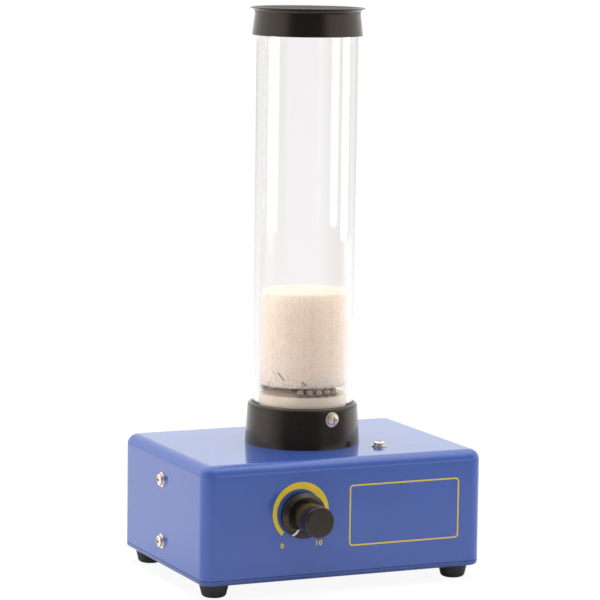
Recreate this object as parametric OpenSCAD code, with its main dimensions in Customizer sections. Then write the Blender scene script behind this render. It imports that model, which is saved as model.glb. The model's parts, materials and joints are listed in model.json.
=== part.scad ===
// Kinetic theory apparatus: a motor in a painted case shakes a piston at the foot of a clear tube,
// small steel balls bounce on the piston, and a light foam float rides on them.
// Millimetres, +Z up. The origin is under the middle of the whole part, on the table.
// Pieces are drawn from the middle of the case and then moved there by in_case().

/* [Case] */
// Width of the case, left to right
case_w = 149.6; // [140:0.2:200]
// Depth of the case, front to back
case_d = 107; // [96:0.2:160]
// Height of the cover above the seam
cover_h = 55.7; // [54:0.2:90]
// Height of the tray below the seam
tray_h = 2.6; // [2.4:0.1:6]
// Thickness of the sheet metal
sheet_t = 1.5; // [1:0.1:2]
// Outer radius of the folds round the top
fold_r = 5.4; // [3:0.1:5.6]
// Outer radius of the upright corners
corner_r = 6; // [5.8:0.1:7]
// Outer radius of the tray's lower edge
tray_edge_r = 2; // [0.5:0.1:2]
// Dark gap between cover and tray
seam_gap = 0.25; // [0.1:0.05:0.6]
// Side of the four corner angles inside the cover
angle_side = 17; // [14:0.5:22]
// Height of the corner angles' upright legs
angle_h = 12; // [6:0.5:20]

/* [Feet] */
// Height of a rubber foot
foot_h = 7; // [5:0.5:14]
// Diameter of a foot where it meets the tray
foot_top_d = 15; // [13:0.5:18]
// Diameter of a foot near the table, above its round edge
foot_low_d = 12.5; // [12:0.5:16]
// Radius of a foot's lower edge
foot_edge_r = 2.2; // [0.5:0.1:2.4]
// Distance from a foot's axis to the case's side
foot_inset_x = 10.2; // [9:0.1:12]
// Distance from a foot's axis to the case's front or back
foot_inset_y = 11.4; // [9:0.1:12]
// Depth of the screw's recess under a foot
foot_recess = 3.2; // [2.5:0.1:4]

/* [Screws] */
// Thread diameter of the machine screws
screw_d = 3; // [2.5:0.1:3.5]
// Head diameter of the machine screws
head_d = 5.6; // [5:0.1:6.2]
// Head height of the machine screws
head_h = 2.1; // [1.6:0.1:2.6]
// Outer diameter of the washers that show
washer_d = 7.4; // [6.4:0.1:9]
// Thickness of the washers
washer_t = 0.5; // [0.3:0.1:1]
// Width across the flats of the nuts
nut_af = 5.5; // [5:0.1:6]
// Thickness of the nuts
nut_t = 2.4; // [1.6:0.1:3]
// Length of thread that shows past a nut
thread_past = 0.8; // [0.4:0.1:1.6]
// Diameter of the small set screws
set_screw_d = 2.5; // [2:0.1:3]
// Spacing of the two screws in the left side
side_screw_gap = 30.8; // [26:0.2:34]
// Place of the side screws behind the middle of the case
side_screw_y = 0.4; // [-6:0.2:6]
// Place of the top screw to the right of the middle
top_screw_x = 30.2; // [24:0.2:50]
// Place of the top screw in front of the middle
top_screw_y = 26.7; // [20:0.1:34]

/* [Tube and collar] */
// Outer diameter of the clear tube
tube_d = 50; // [44:0.5:56]
// Wall of the clear tube
tube_wall = 3; // [2:0.5:4]
// Length of the clear tube
tube_len = 213.5; // [160:0.5:400]
// Place of the tube's axis in front of the case's middle
tube_forward = 0; // [0:0.5:5]
// Wall of the collar at its foot
collar_foot_wall = 3.6; // [3.2:0.1:6]
// Wall of the collar below its lip
collar_top_wall = 2.4; // [2:0.1:4]
// Height of the collar
collar_h = 20.4; // [16:0.2:30]
// Radius of the collar's outer lip
collar_lip_r = 2; // [0.6:0.1:2]
// Height of the clamp screws above the case
collar_screw_h = 15; // [8:0.5:15.5]
// Turn of the clamp screws away from the front
collar_screw_turn = 7.5; // [-20:0.5:20]
// Thread diameter of the screws that hold the collar down
hold_screw_d = 2; // [1.6:0.1:2.2]
// Depth of those screws in the collar
hold_screw_depth = 6; // [3:0.5:10]
// Radial fit between tube and collar, and between tube and cap
tube_fit = 0.1; // [0.05:0.05:0.3]

/* [Cap] */
// Wall of the cap's skirt at its lower edge
cap_skirt_wall = 2.3; // [1.6:0.1:4]
// Wall of the cap's neck
cap_neck_wall = 1; // [1:0.1:1.6]
// Overhang of the cap's rim past its neck
cap_rim_lip = 2.3; // [1:0.1:2.6]
// Length of the skirt below the tube's end
cap_skirt_h = 10.6; // [8:0.1:20]
// Height of the rim above the tube's end
cap_top_h = 3.2; // [3:0.1:6]
// Height of the rim's outer face
cap_rim_h = 0.6; // [0.5:0.1:1.2]
// Depth of the dish in the cap's top
cap_dish = 1.5; // [0.4:0.1:1.8]

/* [Float, balls and piston] */
// Radial gap between the foam float and the tube
float_gap = 0.7; // [0.4:0.1:4]
// Rounding of the foam float's edges
float_edge_r = 0.8; // [0.2:0.1:2]
// Height of the foam float
float_h = 47.1; // [30:0.1:70]
// Diameter of a steel ball
ball_d = 4.2; // [3:0.1:6]
// Number of balls in the run at the front
front_balls = 5; // [3:1:6]
// Number of balls in the run at the back
rear_balls = 11; // [6:1:12]
// First angle of the front run round the tube
front_start = -117; // [-125:1:-110]
// First angle of the rear run round the tube
rear_start = 22; // [10:1:30]
// Gap that the balls and the float rest above what carries them
rest_gap = 0.1; // [0.05:0.05:0.3]
// Height of the piston's top above the case
piston_top_h = 25.2; // [24:0.2:34]
// Height of the piston
piston_h = 21; // [19:0.2:24]
// Thickness of the piston's crown
crown_t = 4; // [3:0.2:5]
// Wall of the piston's skirt
skirt_t = 2.2; // [1.6:0.1:3]
// Radial running gap of the piston in the tube
piston_gap = 0.3; // [0.25:0.05:0.5]
// Height of the wrist pin above the piston's lower edge
wrist_h = 4.6; // [4.2:0.1:5]
// Diameter of the bosses that hold the wrist pin
wrist_boss_d = 8; // [6:0.5:8.4]
// Gap between the two wrist pin bosses
wrist_boss_gap = 12; // [8:0.5:16]

/* [Crank and rod] */
// Offset of the crank pin, half of the piston's stroke
crank_r = 1.5; // [1:0.1:1.8]
// Diameter of the crank pin and of the wrist pin
pin_d = 3; // [2.5:0.1:3.5]
// Diameter of the crank disc
crank_disc_d = 16; // [13:0.5:20]
// Thickness of the crank disc
crank_disc_t = 8; // [7:0.5:9]
// Gap between the crank disc and the connecting rod
crank_gap = 1.5; // [1:0.1:2]
// Thickness of the connecting rod
rod_t = 5; // [4:0.2:6]
// Width of the connecting rod's shank
rod_w = 7; // [5:0.2:8]
// Material round the rod's slot and bush
rod_rim = 3; // [2:0.1:3.2]
// Wall of the rod's brass bush
bush_wall = 1; // [0.6:0.1:1.5]
// Free play round the wrist pin in the rod's slot
slot_play = 0.3; // [0.2:0.05:0.6]
// Diameter of the hole under the tube that the rod passes
rod_hole_d = 30; // [26:1:34]
// Radial running clearance of shafts and pins that turn
run_fit = 0.05; // [0.02:0.01:0.09]
// Thickness of the clip on the crank pin
clip_t = 0.6; // [0.4:0.1:0.8]

/* [Motor] */
// Height of the motor's axis above the tray's floor
shaft_rise = 26.5; // [25:0.1:28]
// Diameter of the motor's can
motor_d = 28; // [22:0.5:30]
// Length of the motor's can
motor_len = 31; // [24:0.5:34]
// Wall of the motor's can
motor_wall = 1.2; // [0.8:0.1:1.5]
// Length of the motor's end cap
motor_end_len = 4; // [3:0.5:6]
// Diameter of the motor's shaft
shaft_d = 3; // [2:0.1:3.4]
// Diameter of the motor's bearing boss
bearing_d = 10; // [8:0.5:11]
// Length of the motor's bearing boss
bearing_len = 3; // [2.5:0.1:4]
// Spacing of the motor's two face screws
face_screw_gap = 17; // [16:0.5:20]
// Diameter of the motor's face screws
face_screw_d = 2.5; // [2:0.1:2.6]
// Thickness of the motor bracket
bracket_t = 2; // [1.5:0.1:2.5]
// Width of the motor bracket
bracket_w = 28; // [26:0.5:32]
// Distance from the bracket's face plate to the tube's axis
face_to_axis = 19; // [18:0.5:24]

/* [Speed control] */
// Place of the knob to the left of the case's middle
knob_left = 24; // [20:0.1:40]
// Height of the knob above the tray's floor
knob_rise = 31.1; // [24:0.1:32]
// Diameter of the knob's skirt
knob_skirt_d = 22.4; // [20:0.2:26]
// Diameter of the knob's body at the skirt
knob_body_d = 15.6; // [15.6:0.2:17]
// Diameter of the knob's front
knob_front_d = 15.2; // [12:0.2:15.4]
// Length of the knob
knob_len = 21.5; // [16:0.5:26]
// Thickness of the skirt's edge
skirt_edge = 3.4; // [1:0.1:3.6]
// Height of the skirt's sloping front
skirt_slope = 1.8; // [1.4:0.1:2.6]
// Width of the flat ledge between the slope and the knob's body
skirt_ledge = 1.6; // [0.4:0.1:1.8]
// Rounding of the knob's front edge
knob_edge_r = 1; // [0.4:0.1:1.4]
// Gap between the knob and the panel
knob_gap = 1; // [0.8:0.1:2]
// Direction of the pointer at its lowest setting, round from the right
pointer_angle = 236; // [225:1:245]
// Direction of the knob's set screw at that setting, round from the right
set_screw_angle = 100; // [60:5:160]
// Width of the pointer line
pointer_w = 1; // [0.6:0.1:1.6]
// Diameter of the potentiometer's body
pot_d = 24; // [17:0.5:25]
// Depth of the potentiometer's body
pot_len = 9; // [7:0.5:12]
// Diameter of the potentiometer's bushing
pot_bush_d = 9; // [7.4:0.2:9.4]
// Length of the bushing in front of the panel
pot_bush_len = 4; // [3.4:0.1:4.4]
// Diameter of the potentiometer's shaft
pot_shaft_d = 6; // [5:0.1:6.4]
// Width across the flats of the potentiometer's nut
pot_nut_af = 11; // [10.6:0.1:11.6]
// Thickness of the potentiometer's nut
pot_nut_t = 2; // [1.6:0.1:2.4]
// Outer diameter of the potentiometer's washer
pot_washer_d = 13; // [12:0.5:16]
// Depth of the recess under the knob
knob_recess = 4.4; // [4:0.1:5]

/* [Regulator] */
// Width of the regulator
reg_w = 10.2; // [8:0.1:11]
// Length of the regulator's moulded body
reg_body_len = 9.2; // [7:0.1:10]
// Height of the moulded body below the tab
reg_body_h = 3.2; // [2.5:0.1:4]
// Thickness of the regulator's tab
reg_tab_t = 1.3; // [1:0.1:1.6]
// Distance from the tab's hole to the moulded body
reg_hole_to_body = 3.7; // [3.6:0.1:5]
// Length of the regulator's legs
reg_leg_len = 7; // [5:0.5:9]
// Spacing of the regulator's legs
reg_leg_gap = 2.54; // [2:0.01:3]

/* [Supply sockets] */
// Spacing of the two sockets
socket_gap = 19; // [16:0.5:25]
// Distance from the middle of the pair to the case's right side
socket_inset = 26.5; // [22:0.5:36]
// Height of the sockets above the tray's floor
socket_rise = 21.5; // [14:0.5:30]
// Diameter of the plug that fits the sockets
plug_d = 4; // [2:0.1:4]
// Depth of a socket's bore
socket_bore_len = 17; // [12:0.5:18]
// Outer diameter of a socket's brass sleeve
sleeve_d = 6; // [5.4:0.1:6.4]
// Diameter of a socket's flange
socket_flange_d = 11; // [10:0.5:14]
// Thickness of a socket's flange
socket_flange_t = 3.5; // [2:0.1:5]
// Diameter of a socket's threaded neck
socket_neck_d = 8; // [7.4:0.1:9]
// Length of a socket's neck behind the flange
socket_neck_len = 12; // [9:0.5:13]
// Width across the flats of a socket's nut
socket_nut_af = 10.5; // [10:0.1:12]
// Length of a socket's solder tail
socket_tail = 3; // [2:0.5:4]

/* [Leads] */
// Outer diameter of an inner lead
lead_d = 1.6; // [1:0.1:1.8]

/* [Hidden] */
$fn = 96;

// Places of the case
floor_z = foot_h + sheet_t;
seam_z = foot_h + tray_h;
top_z = seam_z + cover_h;
wall_x = case_w / 2 - sheet_t;
wall_y = case_d / 2 - sheet_t;
left_reach = washer_t + head_h;
front_reach = knob_gap + knob_len;
case_x = left_reach / 2;
case_y = (front_reach - socket_flange_t) / 2;
foot_x = case_w / 2 - foot_inset_x;
foot_y = case_d / 2 - foot_inset_y;
walls_top_z = top_z - fold_r;
corner_x = case_w / 2 - corner_r;
corner_y = case_d / 2 - corner_r;
// The tray's rim is thinner than the sheet, so the corner angles clear it
tray_play = 0.3;
rim_t = sheet_t - tray_play;

// General fits: a screw in its hole, a piece fixed in another, and how far a cut runs past a face
hole_gap = 0.1;
fixed_fit = 0.02;
recess_gap = 0.4;
cut = 1;
nut_r = nut_af / sqrt(3);

// Proportions of a screw head: dome, width and length of the cross, and height of its floor
dome_share = 2.1;
cross_w_share = 0.17;
cross_len_share = 0.6;
cross_floor_share = 0.3;
// Head of a small screw, as shares of its thread's diameter
small_head_w = 2;
small_head_h = 0.68;

// Tube, collar and cap
tube_y = -tube_forward;
tube_r = tube_d / 2;
bore_r = tube_r - tube_wall;
tube_top_z = top_z + tube_len;
socket_r = tube_r + tube_fit;
collar_foot_r = socket_r + collar_foot_wall;
collar_top_r = socket_r + collar_top_wall;
collar_chamfer = 0.4;
collar_lip = min(collar_lip_r, collar_top_wall - collar_chamfer);
hold_r = (socket_r + collar_foot_r) / 2;
hold_count = 4;
spot_depth = 0.15;
spot_d = washer_d + 2 * recess_gap;
collar_slope = (collar_foot_wall - collar_top_wall) / (collar_h - collar_lip);
spot_r = collar_foot_r - collar_slope * collar_screw_h - spot_depth;
cap_edge_r = 0.25;
cap_lip_w = 0.9;

// Piston, rod and crank, at the lowest point of the stroke
shaft_z = floor_z + shaft_rise;
piston_r = bore_r - piston_gap;
piston_z = top_z + piston_top_h - piston_h;
wrist_z = piston_z + wrist_h;
crank_pin_z = shaft_z - crank_r;
rod_len = wrist_z - crank_pin_z;
bush_bore_r = pin_d / 2 + run_fit;
bush_r = bush_bore_r + bush_wall;
slot_w = pin_d + 2 * (crank_r + slot_play);
slot_h = pin_d + 2 * (2 * crank_r + slot_play);
pin_inset = 0.5;
pin_seat = 2.5;
disc_web = 1;
shaft_seat = crank_disc_t - pin_seat - disc_web;
disc_right_x = -rod_t / 2 - crank_gap;
disc_left_x = disc_right_x - crank_disc_t;
clip_x = rod_t / 2 + hole_gap;
clip_d = 2 * pin_d;
pin_past = 0.8;

// Balls and float
ball_gap = 0.04;
ball_ring_r = bore_r - ball_d / 2 - rest_gap;
ball_step = 2 * asin((ball_d / 2 + ball_gap) / ball_ring_r);
middle_ring = 6;
ball_facets = 32;
piston_top_z = piston_z + piston_h;
ball_z = piston_top_z + rest_gap + ball_d / 2;
float_z = ball_z + ball_d / 2 + rest_gap;
float_r = bore_r - float_gap;

// Motor, measured along its shaft from the tube's axis
plate_x = -face_to_axis;
motor_face_x = plate_x - bracket_t;
motor_back_x = motor_face_x - motor_len;
motor_end_x = motor_back_x - motor_end_len;
shaft_r = shaft_d / 2;
motor_r = motor_d / 2;
spigot_step = 1.5;
spigot_d = bearing_d - 2 * spigot_step;
bearing_in = 2.5;
front_wall = 1.5;
armature_gap = 1;
magnet_t = 1.9;
armature_from = bearing_in + armature_gap;
armature_len = motor_len - armature_from - 2 * armature_gap;
magnet_r = motor_r - motor_wall - fixed_fit;
armature_r = magnet_r - magnet_t - armature_gap;
magnet_split = 10;
shaft_in_end = 2.5;
terminal_len = 6;
terminal_w = 3;
terminal_t = 0.6;
terminal_y = 5;
bracket_half = side_screw_gap / 2 + nut_r + hole_gap + bracket_t;

// Speed control, measured outward from the panel
knob_z = floor_z + knob_rise;
pot_r = pot_d / 2;
pot_shaft_r = pot_shaft_d / 2;
pot_shaft_in = 6;
pot_block = 1;
pot_block_w = 14;
pot_block_t = 4;
pot_tab_gap = 5;
pot_tab_w = 2;
pot_tab_t = 0.6;
pot_tab_len = 5;
knob_front_wall = 3;
nut_room = 0.6;
skirt_r = knob_skirt_d / 2;
body_r = knob_body_d / 2;
front_r = knob_front_d / 2;
recess_r = pot_nut_af / sqrt(3) + nut_room;
knob_bore_r = pot_shaft_r + fixed_fit;
slope_top = skirt_edge + skirt_slope;
ledge_r = body_r + skirt_ledge;
groove = 0.5;
line_proud = 0.1;
set_screw_z = 8;
set_screw_inset = 0.6;

// Regulator, measured from the top screw
reg_tab_front = 3.2;
reg_leg_w = 0.8;
reg_leg_t = 0.5;
reg_body_y = reg_hole_to_body;
reg_end_y = reg_body_y + reg_body_len;
reg_tab_z = -sheet_t - reg_tab_t;
reg_leg_z = reg_tab_z - reg_body_h / 2;

// Sockets, measured outward from the rear wall
socket_z = floor_z + socket_rise;
plug_fit = 0.03;
sleeve_r = sleeve_d / 2;
tail_step = 0.7;
tail_r = sleeve_r - tail_step;
sleeve_end = socket_flange_t - socket_bore_len;
tail_end = sleeve_end - socket_tail;

// Leads: sides of a lead's section, rings between two points of its route, and bends near its ends
lead_sides = 8;
lead_rings = 4;
lead_apart = 1.2;
lead_bend = 5;
socket_right = case_w / 2 - socket_inset;
motor_tab_x = motor_end_x - terminal_len;
solder_x = motor_tab_x + terminal_len / 4;
solder_y = terminal_y + terminal_t / 2;
past_bracket = bracket_w / 2 + lead_bend;
leg_y = -top_screw_y + reg_end_y + reg_leg_len;
leg_z = top_z + reg_leg_z;
tail_y = case_d / 2 + tail_end;
red_x = socket_right - socket_gap / 2;
black_x = socket_right + socket_gap / 2;
pot_tab_y = -case_d / 2 + sheet_t + pot_len / 2;
pot_tab_z = knob_z - pot_r - pot_block - pot_tab_len;
tab_a_x = -knob_left - pot_tab_gap;
tab_b_x = -knob_left + pot_tab_gap;
// A lead's free points, as shares of the room inside the case
function height(share) = floor_z + share * (top_z - floor_z);
function inside(points) = [for (p = points) [p[0] * wall_x, p[1] * wall_y, height(p[2])]];
supply_red_route = concat([[top_screw_x - reg_leg_gap, leg_y, leg_z],
        [top_screw_x - reg_leg_gap, leg_y + lead_bend, height(0.87)]],
    inside([[0.37, 0.12, 0.76], [0.41, 0.28, 0.61], [0.48, 0.48, 0.43]]),
    [[red_x, tail_y, socket_z]]);
motor_red_route = concat([[top_screw_x, leg_y, leg_z],
        [top_screw_x, leg_y + lead_bend, height(0.91)]],
    inside([[0.39, 0.16, 0.89], [0.25, 0.4, 0.84], [-0.06, 0.5, 0.77], [-0.44, 0.48, 0.7]]),
    [[solder_x + lead_bend, tube_y + past_bracket, height(0.62)],
        [solder_x, tube_y + terminal_y + lead_bend, height(0.5)],
        [solder_x, tube_y + solder_y, shaft_z]]);
supply_black_route = concat([[solder_x, tube_y - solder_y, shaft_z],
        [solder_x, tube_y - terminal_y - lead_bend, height(0.45)],
        [solder_x, tube_y - past_bracket, height(0.28)]],
    inside([[-0.78, -0.46, 0.09], [-0.22, -0.52, 0.05], [0.28, -0.48, 0.05], [0.6, -0.16, 0.08],
        [0.75, 0.24, 0.2], [0.77, 0.52, 0.35]]),
    [[black_x - lead_apart, tail_y, socket_z]]);
control_a_route = concat([[tab_a_x, pot_tab_y, pot_tab_z], [tab_a_x, pot_tab_y, height(0.13)],
        [tab_a_x + lead_bend, pot_tab_y + lead_bend, height(0.06)]],
    inside([[0.11, -0.76, 0.06], [0.5, -0.6, 0.13], [0.63, -0.44, 0.38], [0.63, -0.2, 0.63],
        [0.58, -0.03, 0.82]]),
    [[top_screw_x + reg_leg_gap + 1, leg_y + lead_bend + 1, height(0.91)],
        [top_screw_x + reg_leg_gap, leg_y, leg_z]]);
control_b_route = concat([[tab_b_x, pot_tab_y, pot_tab_z], [tab_b_x, pot_tab_y, height(0.15)],
        [tab_b_x + 2 * lead_bend, pot_tab_y + lead_bend / 2, height(0.08)]],
    inside([[0.33, -0.87, 0.06], [0.74, -0.68, 0.06], [0.86, -0.2, 0.1], [0.86, 0.28, 0.24],
        [0.82, 0.54, 0.35]]),
    [[black_x + lead_apart, tail_y, socket_z]]);

// Shapes that repeat
arc_steps = 6;
function arc(cx, cy, r, a0, a1) = [for (i = [0:arc_steps]) let (a = a0 + (a1 - a0) * i / arc_steps)
    [cx + r * cos(a), cy + r * sin(a)]];

module in_case() translate([case_x, case_y, 0]) children();
module on_tube(z) in_case() translate([0, tube_y, z]) children();
module corners() for (x = [-1, 1], y = [-1, 1]) translate([x * foot_x, y * foot_y, 0]) children();
module ring(r, bore, h) difference() {
    cylinder(r = r, h = h);
    translate([0, 0, -cut]) cylinder(r = bore, h = h + 2 * cut);
}
module hex_nut(af, bore, h) difference() {
    cylinder(r = af / sqrt(3), h = h, $fn = 6);
    translate([0, 0, -cut]) cylinder(r = bore, h = h + 2 * cut);
}
module stadium(w, h) {
    square([w, h - w], center = true);
    for (s = [-1, 1]) translate([0, s * (h - w) / 2]) circle(r = w / 2);
}
// Extrudes an outline drawn in y and z along x
module along_x(t) rotate([90, 0, 90]) linear_extrude(t, center = true) children();
// Stands a piece that is drawn upright on its side, pointing to the right
module to_right() rotate([0, 90, 0]) children();

// A cross-head screw: its head stands on z = 0 and its thread hangs below
module pan_screw(d, head, head_height, length) {
    dome_r = dome_share * (head * head / 4 + head_height * head_height) / (2 * head_height);
    cross_w = head * cross_w_share;
    cross_len = head * cross_len_share;
    difference() {
        union() {
            intersection() {
                cylinder(d = head, h = head_height);
                translate([0, 0, head_height - dome_r]) sphere(r = dome_r);
            }
            translate([0, 0, -length]) cylinder(d = d, h = length + head_height / 2);
        }
        for (a = [0, 90]) rotate([0, 0, a])
            translate([-cross_len / 2, -cross_w / 2, head_height * cross_floor_share])
                cube([cross_len, cross_w, head_height]);
    }
}
module machine_screw(length) pan_screw(screw_d, head_d, head_h, length);
module small_screw(d, length) pan_screw(d, small_head_w * d, small_head_h * d, length);
module plain_washer() ring(washer_d / 2, screw_d / 2 + hole_gap, washer_t);
module machine_nut() hex_nut(nut_af, screw_d / 2 + fixed_fit, nut_t);

// A box whose top edges and upright corners are rounded like folded sheet
module plan(w, d, r) {
    square([w - 2 * r, d], center = true);
    square([w, d - 2 * r], center = true);
    for (x = [-1, 1], y = [-1, 1]) translate([x * (w / 2 - r), y * (d / 2 - r)]) circle(r = r);
}
module fold_side(w, h, r) intersection() {
    translate([-w / 2, 0]) square([w, h]);
    union() {
        translate([-w / 2, 0]) square([w, h - r]);
        translate([r - w / 2, 0]) square([w - 2 * r, h]);
        for (x = [-1, 1]) translate([x * (w / 2 - r), h - r]) circle(r = r);
    }
}
module fold_box(w, d, h, fold, corner) {
    linear_extrude(h - fold) plan(w, d, corner);
    rotate([90, 0, 0]) linear_extrude(d - 2 * corner, center = true) fold_side(w, h, fold);
    rotate([90, 0, 90]) linear_extrude(w - 2 * corner, center = true) fold_side(d, h, fold);
    for (x = [-1, 1], y = [-1, 1]) translate([x * (w / 2 - corner), y * (d / 2 - corner), 0])
        rotate_extrude() intersection() {
            square([corner, h]);
            fold_side(2 * corner, h, fold);
        }
}

// Leads: a round section swept along a smooth curve through the route's points
function unit(v) = v / norm(v);
function curve_point(a, b, c, d, t) = 0.5 * (2 * b + (c - a) * t
    + (2 * a - 5 * b + 4 * c - d) * t * t + (3 * b - a - 3 * c + d) * t * t * t);
function smooth(p, n) = let (last = len(p) - 1) [for (k = [0:last - 1]) for (j = [0:n - 1])
    curve_point(p[max(k - 1, 0)], p[k], p[k + 1], p[min(k + 2, last)], j / n), p[last]];
function headings(q) = let (last = len(q) - 1)
    [for (i = [0:last]) unit(q[min(i + 1, last)] - q[max(i - 1, 0)])];
// Carries the section's side direction along the curve, so that it never twists
function sides(t, i, n) = i >= len(t) ? [] :
    let (m = unit(n - t[i] * (n * t[i]))) concat([m], sides(t, i + 1, m));
module lead(route, start, finish, n = lead_sides) {
    q = smooth(route, lead_rings);
    mid = headings(q);
    last = len(q) - 1;
    t = [for (i = [0:last]) i == 0 ? start : i == last ? finish : mid[i]];
    side = sides(t, 0, start[0] == 0 ? [1, 0, 0] : [0, 1, 0]);
    points = [for (i = [0:last]) for (k = [0:n - 1]) let (a = 360 * k / n)
        q[i] + lead_d / 2 * (cos(a) * side[i] + sin(a) * cross(t[i], side[i]))];
    skin = [for (i = [0:last - 1]) for (k = [0:n - 1]) let (a = i * n + k, b = i * n + (k + 1) % n)
        each [[a, a + n, b], [b, a + n, b + n]]];
    ends = [for (k = [1:n - 2]) each [[0, k, k + 1], [last * n, last * n + k + 1, last * n + k]]];
    in_case() polyhedron(points, concat(skin, ends));
}

// Case: one folded and welded sheet, drawn as its top with the folds, its walls and its corners
module cover_sheet() difference() {
    translate([0, 0, seam_z + seam_gap]) difference() {
        fold_box(case_w, case_d, cover_h - seam_gap, fold_r, corner_r);
        translate([0, 0, -cut]) fold_box(2 * wall_x, 2 * wall_y,
            cover_h - seam_gap - sheet_t + cut, fold_r - sheet_t, corner_r - sheet_t);
    }
    translate([0, tube_y, top_z - sheet_t - cut]) cylinder(d = rod_hole_d, h = sheet_t + 2 * cut);
    hold_places() translate([0, 0, -sheet_t - cut])
        cylinder(r = hold_screw_d / 2 + hole_gap, h = sheet_t + 2 * cut);
    top_screw_place() translate([0, 0, -sheet_t - cut])
        cylinder(r = screw_d / 2 + hole_gap, h = sheet_t + 2 * cut);
    side_places() translate([0, 0, -sheet_t - cut])
        cylinder(r = screw_d / 2 + hole_gap, h = sheet_t + 2 * cut);
    knob_place() translate([0, 0, -sheet_t - cut])
        cylinder(r = pot_bush_d / 2 + hole_gap, h = sheet_t + 2 * cut);
    socket_places() translate([0, 0, -sheet_t - cut])
        cylinder(r = socket_neck_d / 2 + hole_gap, h = sheet_t + 2 * cut);
}
module cover_top() color("#5b6cab") in_case() intersection() {
    cover_sheet();
    translate([-case_w, -case_d, walls_top_z]) cube([2 * case_w, 2 * case_d, cover_h]);
}
module cover_wall(back) color("#5b6cab") in_case() intersection() {
    cover_sheet();
    mirror([0, back, 0]) translate([-corner_x, -case_d, 0])
        cube([2 * corner_x, case_d - corner_y, walls_top_z]);
}
module cover_front() cover_wall(0);
module cover_rear() cover_wall(1);
module cover_sides() color("#5b6cab") in_case() intersection() {
    cover_sheet();
    for (x = [0, 1]) mirror([x, 0, 0]) translate([corner_x, -corner_y, 0])
        cube([case_w, 2 * corner_y, walls_top_z]);
}
module cover_corners() color("#5b6cab") in_case() intersection() {
    cover_sheet();
    for (x = [0, 1], y = [0, 1]) mirror([x, 0, 0]) mirror([0, y, 0])
        translate([corner_x, corner_y, 0]) cube([case_w, case_d, walls_top_z]);
}
module corner_angles() color("#5b6cab") in_case() difference() {
    intersection() {
        translate([0, 0, floor_z]) linear_extrude(angle_h)
            plan(2 * wall_x, 2 * wall_y, corner_r - sheet_t);
        for (x = [0, 1], y = [0, 1]) mirror([x, 0, 0]) mirror([0, y, 0])
            translate([wall_x - angle_side, wall_y - angle_side, floor_z]) {
                cube([angle_side, angle_side, sheet_t]);
                translate([angle_side - sheet_t, 0, 0]) cube([sheet_t, angle_side, angle_h]);
            }
    }
    corners() translate([0, 0, floor_z - cut])
        cylinder(r = screw_d / 2 + hole_gap, h = sheet_t + 2 * cut);
}
module base_tray() color("#51619f") in_case() translate([0, 0, foot_h]) difference() {
    translate([0, 0, tray_h]) mirror([0, 0, 1])
        fold_box(case_w, case_d, tray_h, tray_edge_r, corner_r);
    translate([0, 0, sheet_t]) linear_extrude(tray_h)
        plan(case_w - 2 * rim_t, case_d - 2 * rim_t, corner_r - rim_t);
    corners() translate([0, 0, -cut]) cylinder(r = screw_d / 2 + hole_gap, h = sheet_t + 2 * cut);
}
module foot(x, y) color("#26262a") in_case() translate([x * foot_x, y * foot_y, 0]) difference() {
    rotate_extrude() polygon(concat([[0, 0]],
        arc(foot_low_d / 2 - foot_edge_r, foot_edge_r, foot_edge_r, -90, 0),
        [[foot_top_d / 2, foot_h], [0, foot_h]]));
    translate([0, 0, -cut]) cylinder(r = head_d / 2 + recess_gap, h = foot_recess + cut);
    cylinder(r = screw_d / 2 + hole_gap, h = foot_h + cut);
}

// Screws, washers and nuts of the case
module side_places() for (s = [-1, 1])
    translate([-case_w / 2, side_screw_y, shaft_z + s * side_screw_gap / 2])
        rotate([0, -90, 0]) children();
module top_screw_place() translate([top_screw_x, -top_screw_y, top_z]) children();
module foot_screws() color("#c9c5bb") in_case() corners() translate([0, 0, foot_recess])
    rotate([180, 0, 0])
        machine_screw(foot_h - foot_recess + 2 * sheet_t + nut_t + thread_past);
module side_screws() color("#d8d0bd") in_case() side_places() translate([0, 0, washer_t])
    machine_screw(washer_t + sheet_t + bracket_t + nut_t + thread_past);
module top_screw() color("#d8d0bd") in_case() top_screw_place() translate([0, 0, washer_t])
    machine_screw(washer_t + sheet_t + reg_tab_t + nut_t + thread_past);
module machine_nuts() color("#b9b5ab") in_case() {
    corners() translate([0, 0, floor_z + sheet_t]) machine_nut();
    side_places() translate([0, 0, -sheet_t - bracket_t - nut_t]) machine_nut();
    top_screw_place() translate([0, 0, -sheet_t - reg_tab_t - nut_t]) machine_nut();
}
module plain_washers() color("#c4bda9") {
    in_case() side_places() plain_washer();
    in_case() top_screw_place() plain_washer();
    clamp_places() plain_washer();
}

// Collar: a tapered socket for the tube, clamped by two screws and held down from inside the case
module hold_places() for (i = [0:hold_count - 1])
    translate([0, tube_y, top_z]) rotate([0, 0, 360 * (i + 0.5) / hold_count])
        translate([hold_r, 0, 0]) children();
module clamp_places() for (side = [0, 180]) on_tube(top_z + collar_screw_h)
    rotate([0, 0, side + collar_screw_turn]) translate([0, -spot_r, 0]) rotate([90, 0, 0]) children();
module tube_collar() color("#2b2a2c") difference() {
    on_tube(top_z) rotate_extrude() polygon(concat(
        [[socket_r, 0], [collar_foot_r, 0]],
        arc(collar_top_r - collar_lip, collar_h - collar_lip, collar_lip, 0, 90),
        [[socket_r + collar_chamfer, collar_h], [socket_r, collar_h - collar_chamfer]]));
    clamp_places() {
        cylinder(d = spot_d, h = collar_foot_wall);
        translate([0, 0, -collar_foot_wall - cut])
            cylinder(r = screw_d / 2 + fixed_fit, h = collar_foot_wall + 2 * cut);
    }
    in_case() hold_places() translate([0, 0, -cut])
        cylinder(r = hold_screw_d / 2 + fixed_fit, h = hold_screw_depth + cut);
}
module collar_screws() color("#d8d0bd") clamp_places() translate([0, 0, washer_t])
    machine_screw(spot_r + washer_t - tube_r - fixed_fit);
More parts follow.
